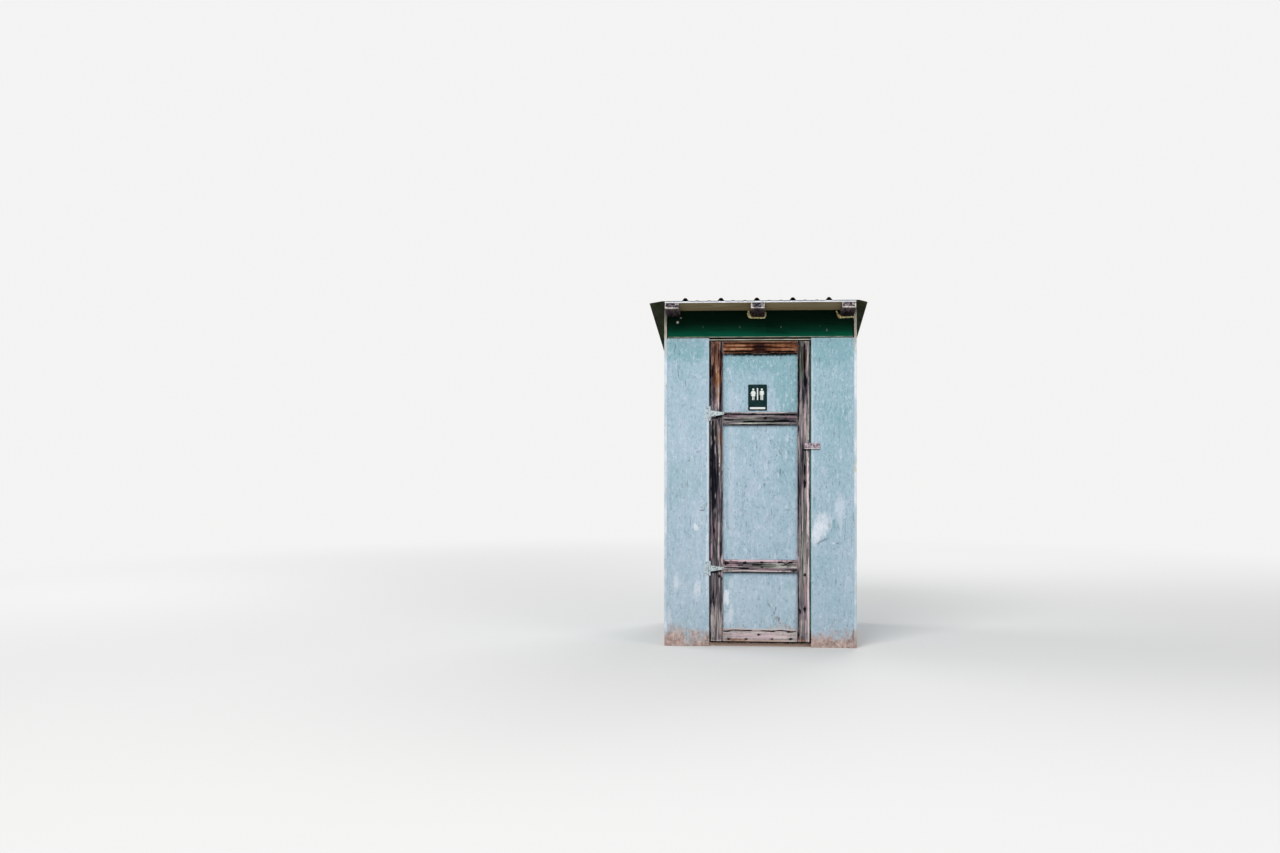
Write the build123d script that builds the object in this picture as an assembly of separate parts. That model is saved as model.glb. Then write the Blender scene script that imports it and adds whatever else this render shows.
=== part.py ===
"""A small wooden outhouse: plywood walls on a frame of studs, a single-slope
ribbed metal roof on three flat rafters, and a ledged door on strap hinges.

The front faces -Y, +X is to the viewer's right and +Z is up. The origin is on
the ground, under the middle of the roof. All lengths are in millimetres. The
pieces are drawn round the middle of the walls, and then moved sideways, because
the roof sheet reaches further on the left.
"""
from build123d import *
import os
from math import atan, cos, degrees, sin

# Walls and frame
wall_width = 1255.0
wall_depth = 1219.0
front_height = 2198.0
roof_fall = 1 / 6
siding_thick = 18.0
stud_thick = 38.0
stud_wide = 89.0
girt_height = 1000.0
floor_thick = 18.0
fit_gap = 1.0

# Board above the door, and the gap between it and the front sheets
header_board_high = 176.0
header_board_thick = 19.0
header_board_side_gap = 8.0
front_panel_gap = 5.0
head_below_panel = 12.0

# Roof
rafter_offset = -14.0
front_overhang = 205.0
back_overhang = 198.0
deck_thick = 9.0
flashing_thick = 0.8
flashing_lap = 45.0
metal_thick = 0.8
metal_nose = 7.0
metal_left_reach = 79.5
metal_right_reach = 52.5
metal_side_drop = 14.0
rib_spacing = 228.6
rib_base = 44.0
rib_crown = 15.0
rib_height = 19.0
rib_offset = -20.0
ribs_each_side = 2
bead_base = 26.0
bead_crown = 12.0
bead_height = 3.0
notch_gap = 2.0
foam_notch = 10.0
foam_lip = 7.0
foam_bulge = 12.0
foam_round = 4.0

# Door
door_width = 646.0
door_side_gap = 9.0
door_bottom = 33.0
door_head_gap = 9.0
door_board_thick = 19.0
door_stile_wide = 80.0
door_rail_wide = 84.0
door_panel_thick = 12.0
upper_rail_drop = 504.0
lower_rail_lift = 494.0
stop_thick = 19.0
stop_deep = 38.0
stop_gap = 5.0

# Sign on the upper door panel
sign_width = 123.0
sign_height = 171.0
sign_thick = 2.0
sign_corner = 7.0
sign_offset = -16.0
sign_gap = 9.0

# Strap hinges
upper_hinge_drop = 471.5
lower_hinge_lift = 477.5
hinge_plate_high = 90.0
hinge_plate_wide = 37.0
hinge_metal = 2.2
hinge_pin_radius = 3.0
hinge_knuckle_radius = 5.5
hinge_bore_gap = 0.08
hinge_knuckle_gap = 0.6
strap_knuckle_long = 42.0
strap_length = 94.0
strap_tip_radius = 7.5
hinge_head_high = 2.5
hinge_head_radius = 4.6

# Hasp and staple
hasp_lift = 1280.0
hasp_metal = 2.0
hasp_wide = 38.0
hasp_leaf_long = 30.0
hasp_strap_long = 68.0
hasp_corner = 9.0
hasp_pin_inset = 2.0
hasp_pin_stand = 6.0
hasp_pin_radius = 2.2
hasp_knuckle_radius = 4.4
hasp_bore_gap = 0.08
hasp_knuckle_long = 13.0
hasp_knuckle_gap = 0.5
slot_start = 22.0
slot_end = 55.0
slot_wide = 9.0
staple_rod = 4.0
staple_span = 20.0
staple_stand = 22.5
staple_plate_margin = 8.0

# Places that follow from the sizes above
half_width = wall_width / 2
half_frame = half_width - siding_thick
front_face = -wall_depth / 2
back_face = wall_depth / 2
front_frame = front_face + siding_thick
back_frame = back_face - siding_thick
post_inner = half_frame - stud_thick
front_post_back = front_frame + stud_wide
back_post_front = back_frame - stud_wide
opening_half = door_width / 2 + door_side_gap
header_board_bottom = front_height - header_board_high
front_panel_top = header_board_bottom - front_panel_gap
opening_head = front_panel_top - head_below_panel
door_top = opening_head - door_head_gap
floor_top = stud_wide + floor_thick
door_boards_back = front_face + door_board_thick
door_back = door_boards_back + door_panel_thick
stop_front = door_back + stop_gap
rail_middles = {
    "top": door_top - door_rail_wide / 2,
    "upper": door_top - upper_rail_drop,
    "lower": door_bottom + lower_rail_lift,
    "bottom": door_bottom + door_rail_wide / 2,
}
sign_middle = rail_middles["upper"] + door_rail_wide / 2 + sign_gap + sign_height / 2
slope = atan(roof_fall)
roof_start = -front_overhang / cos(slope)
roof_end = (wall_depth + back_overhang) / cos(slope)
roof_middle = (roof_start + roof_end) / 2
hinge_x = -(door_width + door_side_gap) / 2
hinge_y = front_face - hinge_knuckle_radius
hinge_heights = {"upper": door_top - upper_hinge_drop, "lower": door_bottom + lower_hinge_lift}
hasp_x = door_width / 2 - hasp_pin_inset
hasp_y = front_face - hasp_pin_stand
hasp_height = door_bottom + hasp_lift
staple_middle = hasp_x + (slot_start + slot_end) / 2
walls_shift = (metal_left_reach - metal_right_reach) / 2

# The roof's own frame: its XY plane is the underside of the deck, Y runs back
# and down the slope from above the face of the front wall.
roof_plane = Plane(
    origin=(0, front_face, front_height),
    x_dir=(1, 0, 0),
    z_dir=(0, sin(slope), cos(slope)),
)
ROOF_BLOCK = 4 * wall_depth


def board(x_range, y_range, z_range):
    """A squared board or sheet that fills three ranges."""
    middle = [(low + high) / 2 for low, high in (x_range, y_range, z_range)]
    lengths = [high - low for low, high in (x_range, y_range, z_range)]
    return Pos(*middle) * Box(*lengths)


def mirrored(low, high, side):
    """A range on the right side, or the same range mirrored to the left."""
    return (low, high) if side > 0 else (-high, -low)


def under_roof(shape, level):
    """What lies below a plane that is parallel to the deck's underside."""
    above = Pos(0, roof_middle, level + ROOF_BLOCK / 2) * Box(ROOF_BLOCK, ROOF_BLOCK, ROOF_BLOCK)
    return shape - roof_plane * above


def roof_height(y, level=0.0):
    """World height of a plane parallel to the deck's underside, at a depth y."""
    return front_height - (y - front_face) * roof_fall + level / cos(slope)


def rafter(x_low, grow=0.0):
    """A stud laid flat under the deck, from eave to eave."""
    ends = (roof_start - grow, roof_end + grow)
    flat = board((x_low - grow, x_low + stud_wide + grow), ends, (-stud_thick - grow, grow))
    return roof_plane * flat


def rafter_places():
    """Left edge of each rafter: flush with the frame at the sides, one between."""
    return {
        "left": -half_frame,
        "middle": rafter_offset - stud_wide / 2,
        "right": half_frame - stud_wide,
    }


def build_walls():
    """Side, back and front sheets, and the board under the front eave."""
    nodes = {}
    top = front_height + stud_wide
    for name, side in (("left", -1), ("right", 1)):
        sheet = board(mirrored(half_frame, half_width, side), (front_face, back_face), (0, top))
        nodes[f"side_wall_{name}"] = under_roof(sheet, deck_thick - fit_gap)
        x_range = mirrored(opening_half, half_frame, side)
        front = board(x_range, (front_face, front_frame), (0, front_panel_top))
        nodes[f"front_panel_{name}"] = front

    back = board((-half_frame, half_frame), (back_frame, back_face), (0, top))
    header_half = half_frame - header_board_side_gap
    header = board(
        (-header_half, header_half),
        (front_frame - header_board_thick, front_frame),
        (header_board_bottom, top),
    )
    for x_low in rafter_places().values():
        back -= rafter(x_low, notch_gap)
        header -= rafter(x_low, notch_gap)
    for name in foam_sides():
        header -= foam_plug(name)
    nodes["back_wall"] = under_roof(back, -fit_gap)
    nodes["header_board"] = under_roof(header, -fit_gap)
    return nodes


def foam_sides():
    """The rafters that were sealed with foam, and the side that stays bare."""
    return {"middle": (1, 1), "right": (1, 0)}


def foam_ranges(name, reach):
    """The ranges in X and Z of the foam round one rafter, at the front wall."""
    left, right = foam_sides()[name]
    x_low = rafter_places()[name]
    x_range = (x_low - left * reach, x_low + stud_wide + right * reach)
    if not right:
        x_range = (x_range[0], half_frame - header_board_side_gap)
    bottom = roof_height(front_frame, -stud_thick) - reach
    return x_range, (bottom, front_height + stud_wide)


def foam_plug(name):
    """The foam in the notch of the header board."""
    x_range, z_range = foam_ranges(name, foam_notch)
    return board(x_range, (front_frame - header_board_thick, front_frame), z_range)


def build_foam():
    """Lumps of expanding foam round two of the rafters."""
    nodes = {}
    board_face = front_frame - header_board_thick
    for name in foam_sides():
        x_range, z_range = foam_ranges(name, foam_notch + foam_lip)
        bulge = board(x_range, (board_face - foam_bulge, board_face), z_range)
        front_edges = bulge.faces().sort_by(Axis.Y)[0].edges()
        bulge = fillet(front_edges, foam_round)
        foam = bulge + foam_plug(name) - rafter(rafter_places()[name])
        nodes[f"foam_seal_{name}"] = under_roof(foam, -fit_gap)
    return nodes


def build_frame():
    """Corner posts, door studs, girts and the two members under the rafters."""
    nodes = {}
    back_plate_bottom = roof_height(back_frame, -stud_thick) - stud_wide
    for name, side in (("left", -1), ("right", 1)):
        post = mirrored(post_inner, half_frame, side)
        nodes[f"front_post_{name}"] = board(post, (front_frame, front_post_back), (0, opening_head))
        nodes[f"back_post_{name}"] = board(post, (back_post_front, back_frame), (0, back_plate_bottom))
        stud = mirrored(opening_half, opening_half + stud_thick, side)
        nodes[f"door_stud_{name}"] = board(stud, (front_frame, front_post_back), (0, opening_head))

    across = (-half_frame, half_frame)
    header = board(across, (front_frame, front_frame + stud_thick), (opening_head, front_height))
    nodes["front_header"] = under_roof(header, -stud_thick)
    plate = board(across, (back_frame - stud_thick, back_frame), (back_plate_bottom, front_height))
    nodes["back_plate"] = under_roof(plate, -stud_thick)

    girt_range = (girt_height - stud_wide / 2, girt_height + stud_wide / 2)
    side_run = (front_post_back, back_post_front)
    girts = [board(mirrored(post_inner, half_frame, side), side_run, girt_range) for side in (-1, 1)]
    nodes["side_girts"] = Compound(girts)
    back_run = (-post_inner, post_inner)
    nodes["back_girt"] = board(back_run, (back_frame - stud_thick, back_frame), girt_range)
    return nodes


def build_floor():
    """Sills and joists between the posts, and the floor sheet on them."""
    nodes = {}
    low = (0, stud_wide)
    sill_back = front_frame + stud_thick
    door_stud_outer = opening_half + stud_thick
    sills = [
        board(mirrored(door_stud_outer, post_inner, side), (front_frame, sill_back), low)
        for side in (-1, 1)
    ]
    nodes["front_sills"] = Compound(sills)
    threshold = (stop_front, stop_front + stud_thick)
    nodes["threshold"] = board((-opening_half, opening_half), threshold, low)
    back_sill_front = back_frame - stud_thick
    nodes["back_sill"] = board((-post_inner, post_inner), (back_sill_front, back_frame), low)

    outer_run = (front_post_back, back_post_front)
    joists = [board(mirrored(post_inner, half_frame, side), outer_run, low) for side in (-1, 1)]
    half_joist = stud_thick / 2
    joists.append(board((-half_joist, half_joist), (threshold[1], back_sill_front), low))
    nodes["floor_joists"] = Compound(joists)

    floor = board((-half_frame, half_frame), (stop_front, back_frame), (stud_wide, floor_top))
    for side in (-1, 1):
        post = mirrored(post_inner - fit_gap, half_frame, side)
        stud = mirrored(opening_half - fit_gap, door_stud_outer + fit_gap, side)
        for x_range in (post, stud):
            floor -= board(x_range, (front_frame, front_post_back + fit_gap), (0, front_height))
        floor -= board(post, (back_post_front - fit_gap, back_frame), (0, front_height))
    nodes["floor"] = floor
    return nodes


def build_door_stop():
    """The strip that the door shuts against, up one side, across and down."""
    y_range = (stop_front, stop_front + stop_deep)
    outer = board((-opening_half, opening_half), y_range, (floor_top, opening_head))
    inner_half = opening_half - stop_thick
    inner = board((-inner_half, inner_half), y_range, (floor_top, opening_head - stop_thick))
    return {"door_stop": outer - inner}


def metal_line():
    """Underside of the ribbed sheet across the roof, as (x, height) points."""

    def droop(x):
        reach = metal_right_reach if x > 0 else metal_left_reach
        return -metal_side_drop * max(abs(x) - half_width, 0) / reach

    points = []
    for step in range(-ribs_each_side, ribs_each_side + 1):
        rib = rib_offset + step * rib_spacing
        points += [(rib - rib_base / 2, 0), (rib - rib_crown / 2, rib_height)]
        points += [(rib + rib_crown / 2, rib_height), (rib + rib_base / 2, 0)]
        for third in (1, 2) if step < ribs_each_side else ():
            bead = rib + third * rib_spacing / 3
            points += [(bead - bead_base / 2, 0), (bead - bead_crown / 2, bead_height)]
            points += [(bead + bead_crown / 2, bead_height), (bead + bead_base / 2, 0)]
    left = -half_width - metal_left_reach
    right = half_width + metal_right_reach
    points += [(left, 0), (-half_width, 0), (half_width, 0), (right, 0)]
    points.sort()
    return [(x, height + droop(x)) for x, height in points]


def build_roof():
    """Rafters, deck, eave flashings and the ribbed metal sheet."""
    nodes = {}
    for name, x_low in rafter_places().items():
        nodes[f"rafter_{name}"] = rafter(x_low)
    run = (roof_start, roof_end)
    deck = board((-half_frame, half_frame), run, (0, deck_thick))
    nodes["roof_deck"] = roof_plane * deck

    top = deck_thick + flashing_thick
    flashings = []
    for edge, outward in ((roof_start, -1), (roof_end, 1)):
        face = sorted((edge, edge + outward * flashing_thick))
        lap = sorted((edge - outward * flashing_lap, edge + outward * flashing_thick))
        width = (-half_frame, half_frame)
        angle = board(width, face, (0, top)) + board(width, lap, (deck_thick, top))
        flashings.append(roof_plane * angle)
    nodes["eave_flashings"] = Compound(flashings)

    under = [(x, height + top) for x, height in metal_line()]
    over = [(x, height + metal_thick) for x, height in reversed(under)]
    start = roof_start - metal_nose
    length = roof_end + metal_nose - start
    section = Plane.XZ * make_face(Polyline(*under, *over, close=True))
    sheet = extrude(section, amount=length, dir=(0, 1, 0))
    nodes["roof_sheet"] = roof_plane * (Pos(0, start, 0) * sheet)
    return nodes


def build_door():
    """Stiles and rails on a plywood panel, and the sign."""
    nodes = {}
    half = door_width / 2
    boards = (front_face, door_boards_back)
    full = (door_bottom, door_top)
    inner = half - door_stile_wide
    nodes["door_panel"] = board((-half, half), (door_boards_back, door_back), full)
    nodes["door_stile_left"] = board((-half, -inner), boards, full)
    nodes["door_stile_right"] = board((inner, half), boards, full)
    for name, middle in rail_middles.items():
        z_range = (middle - door_rail_wide / 2, middle + door_rail_wide / 2)
        nodes[f"door_rail_{name}"] = board((-inner, inner), boards, z_range)

    plate = extrude(RectangleRounded(sign_width, sign_height, sign_corner), sign_thick)
    place = Plane(origin=(sign_offset, door_boards_back, sign_middle), x_dir=(1, 0, 0), z_dir=(0, -1, 0))
    nodes["restroom_sign"] = place * plate
    return nodes


def upright(x, y, z_range, radius):
    """A round bar that stands on end."""
    low, high = z_range
    return Pos(x, y, (low + high) / 2) * Cylinder(radius, high - low)


def strap_outline():
    """A strap that tapers from its knuckle to a round tip, drawn from the front."""
    half = strap_knuckle_long / 2
    tip = strap_length - strap_tip_radius
    taper = Polyline((0, -half), (tip, -strap_tip_radius), (tip, strap_tip_radius), (0, half), close=True)
    return make_face(taper) + Pos(tip, 0) * Circle(strap_tip_radius)


def build_hinges():
    """Two strap hinges: the plate and its pin stay on the wall."""
    plates = {}
    straps = {}
    plate_face = (front_face - hinge_metal, front_face)
    bore = hinge_pin_radius + hinge_bore_gap
    for name, middle in hinge_heights.items():
        low = middle - hinge_plate_high / 2
        high = middle + hinge_plate_high / 2
        strap_low = middle - strap_knuckle_long / 2
        strap_high = middle + strap_knuckle_long / 2
        cut_low = strap_low - hinge_knuckle_gap
        cut_high = strap_high + hinge_knuckle_gap

        plate = board((hinge_x - hinge_plate_wide, hinge_x), plate_face, (low, high))
        plate += upright(hinge_x, hinge_y, (low, high), hinge_knuckle_radius)
        room = hinge_knuckle_radius + fit_gap
        room_y = (hinge_y - room, front_face)
        plate -= board((hinge_x - room, hinge_x + room), room_y, (cut_low, cut_high))
        heads = (low - hinge_head_high, high + hinge_head_high)
        plate += upright(hinge_x, hinge_y, (low, high), hinge_pin_radius)
        for start, stop in ((heads[0], low), (high, heads[1])):
            plate += upright(hinge_x, hinge_y, (start, stop), hinge_head_radius)
        plates[f"hinge_plate_{name}"] = plate

        front = Plane(origin=(hinge_x, front_face, middle), x_dir=(1, 0, 0), z_dir=(0, -1, 0))
        strap = front * extrude(strap_outline(), hinge_metal)
        strap += upright(hinge_x, hinge_y, (strap_low, strap_high), hinge_knuckle_radius)
        strap -= upright(hinge_x, hinge_y, (low, high), bore)
        straps[f"hinge_strap_{name}"] = strap
    return plates, straps


def build_hasp():
    """A hinged hasp on the door and its staple on the wall."""
    half = hasp_wide / 2
    low = hasp_height - half
    high = hasp_height + half
    middle_low = hasp_height - hasp_knuckle_long / 2
    middle_high = hasp_height + hasp_knuckle_long / 2

    leaf = board((hasp_x - hasp_leaf_long, hasp_x), (front_face - hasp_metal, front_face), (low, high))
    leaf += board((hasp_x - hasp_knuckle_radius, hasp_x), (hasp_y, front_face), (low, high))
    leaf += upright(hasp_x, hasp_y, (low, high), hasp_knuckle_radius)
    room = hasp_knuckle_radius + fit_gap
    gap_low = middle_low - hasp_knuckle_gap
    gap_high = middle_high + hasp_knuckle_gap
    leaf -= board((hasp_x - room, hasp_x + room), (hasp_y - room, front_face), (gap_low, gap_high))
    leaf += upright(hasp_x, hasp_y, (low, high), hasp_pin_radius)

    outline = Pos(hasp_strap_long / 2, 0) * RectangleRounded(hasp_strap_long, hasp_wide, hasp_corner)
    slot_middle = (slot_start + slot_end) / 2
    outline -= Pos(slot_middle, 0) * SlotOverall(slot_end - slot_start, slot_wide)
    front = Plane(origin=(hasp_x, hasp_y, hasp_height), x_dir=(1, 0, 0), z_dir=(0, -1, 0))
    strap = front * extrude(outline, hasp_metal / 2, both=True)
    for start, stop in ((low, gap_low + hasp_knuckle_gap), (middle_high, high)):
        strap -= board((hasp_x - room, hasp_x + room), (hasp_y - room, front_face), (start, stop))
    strap += upright(hasp_x, hasp_y, (middle_low, middle_high), hasp_knuckle_radius)
    strap -= upright(hasp_x, hasp_y, (low, high), hasp_pin_radius + hasp_bore_gap)

    rod = staple_rod / 2
    bend = staple_span / 2
    plate_half = bend + rod + staple_plate_margin
    staple = board(
        (staple_middle - plate_half, staple_middle + plate_half),
        (front_face - hasp_metal, front_face),
        (low, high),
    )
    straight = staple_stand - bend - rod
    loop = Plane(origin=(staple_middle, front_face, hasp_height), x_dir=(1, 0, 0), z_dir=(0, 0, -1))
    path = Polyline((-bend, 0), (-bend, straight))
    path += ThreePointArc((-bend, straight), (0, straight + bend), (bend, straight))
    path += Line((bend, straight), (bend, 0))
    section = Plane(origin=path @ 0, z_dir=path % 0) * Circle(rod)
    staple += loop * sweep(section, path=path)
    return {"hasp_leaf": leaf}, {"hasp_strap": strap}, {"hasp_staple": staple}


def build_all():
    """Every piece of the outhouse by its name."""
    nodes = {}
    for group in (build_walls(), build_foam(), build_frame(), build_floor()):
        nodes.update(group)
    for group in (build_door_stop(), build_roof(), build_door()):
        nodes.update(group)
    for group in (*build_hinges(), *build_hasp()):
        nodes.update(group)
    return nodes


os.makedirs("parts", exist_ok=True)
pieces = build_all()
for node_name, piece in pieces.items():
    export_step(Pos(walls_shift, 0, 0) * piece, f"parts/{node_name}.step")
print(len(pieces), "pieces, roof slope", round(degrees(slope), 2), "degrees")
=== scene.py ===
"""Looks of a small wooden outhouse, dressed around its fixed CAD frame.

Metres, +Z up, the door faces -Y. Plywood sheets, boards, rafters and foam are
rebuilt as dense meshes in the place of their CAD solids; roof metal, hinges,
hasp and the inner frame keep their CAD solids and get nails, screws and finishes.
Wear, painted shadows and highlights that show in the photograph are placed by their pixel column and row.
"""

import math
from contextlib import contextmanager
from itertools import product

import bmesh
import bpy
import numpy as np
from mathutils import Matrix, Vector


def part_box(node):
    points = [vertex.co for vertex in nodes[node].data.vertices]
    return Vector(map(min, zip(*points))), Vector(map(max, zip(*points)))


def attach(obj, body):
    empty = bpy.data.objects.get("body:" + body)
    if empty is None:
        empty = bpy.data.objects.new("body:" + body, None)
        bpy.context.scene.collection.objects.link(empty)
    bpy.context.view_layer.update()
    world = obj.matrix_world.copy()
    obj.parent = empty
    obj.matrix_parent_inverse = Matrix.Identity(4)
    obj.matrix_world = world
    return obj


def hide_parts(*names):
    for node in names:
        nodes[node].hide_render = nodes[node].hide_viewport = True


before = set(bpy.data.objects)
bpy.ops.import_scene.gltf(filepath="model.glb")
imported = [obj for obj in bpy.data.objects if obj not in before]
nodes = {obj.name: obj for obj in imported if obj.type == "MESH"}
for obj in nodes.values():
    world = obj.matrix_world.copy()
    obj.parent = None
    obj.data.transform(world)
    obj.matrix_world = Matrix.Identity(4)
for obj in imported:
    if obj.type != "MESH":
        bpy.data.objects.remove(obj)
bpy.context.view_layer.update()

MM = 0.001
SIDES = ("left", "right")
RAFTERS = ("rafter_left", "rafter_middle", "rafter_right")
ROOF_FALL = 1 / 6
DECK_THICK = 9 * MM
RAFTER_THICK = 38 * MM
RIB_SPACING = 228.6 * MM
slope = math.atan(ROOF_FALL)

# The photograph: its size, lens, the column of the walls' middle, and where the eye was
PHOTO_WIDTH, PHOTO_HEIGHT = 1280, 853
SENSOR = 36.0
LENS = 40.0
CENTRE_COLUMN = 760.0
EYE_HEIGHT = 1.439
EYE_DISTANCE = 9.32
FOCAL = LENS / SENSOR * PHOTO_WIDTH
YAW = math.atan((CENTRE_COLUMN - PHOTO_WIDTH / 2) / FOCAL)
PIXEL = EYE_DISTANCE / FOCAL

wall_low, wall_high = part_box("header_board")
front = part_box("front_panel_left")[0].y
eye = Vector(((wall_low.x + wall_high.x) / 2, front - EYE_DISTANCE, EYE_HEIGHT))

deck_low, deck_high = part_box("roof_deck")
eave = Vector((0, deck_low.y, deck_high.z - DECK_THICK * math.cos(slope)))
roof_turn = Matrix.Translation(eave) @ Matrix.Rotation(-slope, 4, "X")
roof_length = (deck_high.y - deck_low.y - DECK_THICK * math.sin(slope)) / math.cos(slope)


def on_front(column, row):
    """X and Z of the place on the front wall that a pixel of the photograph shows."""
    across = (column - PHOTO_WIDTH / 2) / FOCAL
    up = (PHOTO_HEIGHT / 2 - row) / FOCAL
    reach = EYE_DISTANCE / (math.cos(YAW) + across * math.sin(YAW))
    return eye.x + reach * (across * math.cos(YAW) - math.sin(YAW)), eye.z + reach * up


# Repeatable noise and marks for shapes

def lattice_value(cell, seed):
    """A repeatable number from 0 to 1 for each whole-number point."""
    mixed = cell[:, 0] * 73856093 ^ cell[:, 1] * 19349663 ^ cell[:, 2] * 83492791 ^ seed * 15485863
    mixed = ((mixed ^ (mixed >> 13)) * 1274126177) & 0x7FFFFFFF
    return ((mixed ^ (mixed >> 15)) & 0xFFFF) / 0xFFFF


def noise(points, scale, seed):
    """Smooth noise from 0 to 1 at each row of points, stretched by three scales."""
    scaled = points * np.array(scale)
    cell = np.floor(scaled).astype(np.int64)
    part = scaled - cell
    part = part * part * (3 - 2 * part)
    total = np.zeros(len(points))
    for corner in np.ndindex(2, 2, 2):
        weight = np.prod(np.where(corner, part, 1 - part), axis=1)
        total += weight * lattice_value(cell + corner, seed)
    return total


def eased(value, low, high):
    share = np.clip((value - low) / (high - low), 0, 1)
    return share * share * (3 - 2 * share)


def marks(points, spots, seed, ragged=0.7):
    """Sum of soft ragged ellipses on a face that looks at the camera.

    Each spot is (column, row, half width, half height, strength), in pixels of
    the photograph, with a turn in degrees after them where it lies at a slant.
    """
    total = np.zeros(len(points))
    rough = [noise(points, (scale, scale, scale * 0.35), seed + scale) - 0.5 for scale in (90, 210)]
    for number, (column, row, wide, high, strength, *turn) in enumerate(spots):
        x, z = on_front(column, row)
        angle = math.radians(turn[0]) if turn else 0.0
        dx, dz = (points[:, 0] - x) / PIXEL, (points[:, 2] - z) / PIXEL
        along = dx * math.cos(angle) + dz * math.sin(angle)
        aside = dz * math.cos(angle) - dx * math.sin(angle)
        edge = np.hypot(along / wide, aside / high) + ragged * rough[number % 2]
        total += strength * (1 - eased(edge, 0.55, 1.2))
    return total


def cracks(points, paths, half, seed):
    """How far each point lies inside a crack: 1 on a path of photograph pixels, 0 beside it."""
    cut = np.zeros(len(points))
    wander = (noise(points, (60, 60, 60), seed) - 0.5) * 3.0 * MM
    x, z = points[:, 0] + wander, points[:, 2] + wander
    width = half * (0.55 + 0.9 * noise(points, (26, 26, 26), seed + 1))
    for path in paths:
        ends = [on_front(*place) for place in path]
        for (x0, z0), (x1, z1) in zip(ends, ends[1:]):
            length = max((x1 - x0) ** 2 + (z1 - z0) ** 2, 1e-12)
            share = np.clip(((x - x0) * (x1 - x0) + (z - z0) * (z1 - z0)) / length, 0, 1)
            away = np.hypot(x - x0 - share * (x1 - x0), z - z0 - share * (z1 - z0))
            cut = np.maximum(cut, 1 - away / width)
    return np.clip(cut, 0, 1)


# Meshes

def linked(name, data):
    """A new object in the scene."""
    made = bpy.data.objects.new(name, data)
    bpy.context.scene.collection.objects.link(made)
    return made


def add_object(name, mesh, body, *materials, replaces=None, slot=None):
    """A piece that rides on a body, in the place of a CAD node if one is named."""
    piece = linked(name, mesh)
    for material in materials:
        mesh.materials.append(material)
    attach(piece, body)
    if replaces:
        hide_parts(replaces)


@contextmanager
def reshaping(mesh):
    """The mesh as an editable shape, written back at the end."""
    shape = bmesh.new()
    shape.from_mesh(mesh)
    yield shape
    shape.to_mesh(mesh)
    shape.free()


def new_mesh(name, points, faces, wear=None):
    """A mesh with one value a point for each kind of wear."""
    mesh = bpy.data.meshes.new(name)
    mesh.from_pydata(points, [], faces)
    for kind, numbers in (wear or {}).items():
        attribute = mesh.attributes.new(kind, "FLOAT", "POINT")
        attribute.data.foreach_set("value", np.asarray(numbers, np.float32))
    return mesh


def soften(mesh, sharp_angle=40):
    """Smooth shading, with an edge kept sharp where its faces meet steeply."""
    with reshaping(mesh) as shape:
        for edge in shape.edges:
            edge.smooth = edge.calc_face_angle(0) < math.radians(sharp_angle)
        for face in shape.faces:
            face.smooth = True


def lines(length, step, radius):
    """Grid lines along one side: close ones at the rounded ends, even ones between."""
    ends = np.array([0.06, 0.3, 0.62, 1.0]) * radius
    count = max(2, round((length - 2 * radius) / step))
    middle = np.linspace(radius, length - radius, count + 1)[1:-1]
    return np.concatenate([ends, middle, length - ends[::-1]])


def grid_faces(index):
    """Four-sided faces between neighbours of a grid of point numbers."""
    corners = [index[:-1, :-1], index[1:, :-1], index[1:, 1:], index[:-1, 1:]]
    return np.stack(corners, axis=-1).reshape(-1, 4)


def slab(name, node, origin, across, size, thick, relief, step, looks, top=None, cuts=(),
         radius=1.2 * MM, body="building", slot="blue_plywood"):
    """A sheet that stands up: a dense front face, rounded edges and a flat back.

    across is the direction of the face's width and up is +Z, so the face looks
    along across x up. top gives the height at each width, cuts are notches in
    the upper edge as (start, end, bottom), relief gives each point's depth under
    the face and its wear, and looks are the materials of face, rim and back.
    """
    across = Vector(across)
    outward = np.array(across.cross(Vector((0, 0, 1))))
    width, height = size

    def placed(along, up):
        along, up = [grid.ravel() for grid in np.meshgrid(along, up, indexing="ij")]
        lift = up if top is None else up * top(along) / height
        return along, up, np.array(origin) + np.outer(along, across) + np.outer(lift, (0, 0, 1))

    us, vs = lines(width, step[0], radius), lines(height, step[1], radius)
    u, v, points = placed(us, vs)
    wear = relief(points)
    worn = radius * (1 + 2.2 * noise(points, (14, 14, 9), 5) ** 4)
    near_u = np.maximum(worn - np.minimum(u, width - u), 0)
    near_v = np.maximum(worn - np.minimum(v, height - v), 0)
    reach = np.minimum(np.hypot(near_u, near_v), worn * 0.97)
    depth = wear.pop("depth") + worn - np.sqrt(worn**2 - reach**2)
    border = np.minimum(np.minimum(u, width - u), np.minimum(v, height - v))
    wear["edge"] = np.clip(1.1 - border / (10 * MM), 0, 1)
    points = points - np.outer(depth, outward)

    quads = grid_faces(np.arange(len(us) * len(vs)).reshape(len(us), len(vs)))
    if cuts:
        x, _, z = placed((us[:-1] + us[1:]) / 2, (vs[:-1] + vs[1:]) / 2)[2].T
        gone = [(x > start) & (x < end) & (z > bottom) for start, end, bottom in cuts]
        quads = quads[~np.any(gone, axis=0)]
    mesh = new_mesh(name, points.tolist(), quads.tolist(), wear)
    close_slab(mesh, origin, outward, thick, radius)
    soften(mesh)
    add_object(name, mesh, body, *looks, replaces=node, slot=slot)


def front_slab(name, node, relief, step, looks, **options):
    """A slab that faces the viewer, in the place of a CAD node."""
    low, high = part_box(node)
    size = (high.x - low.x, high.z - low.z)
    slab(name, node, low, (1, 0, 0), size, high.y - low.y, relief, step, looks, **options)


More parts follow.
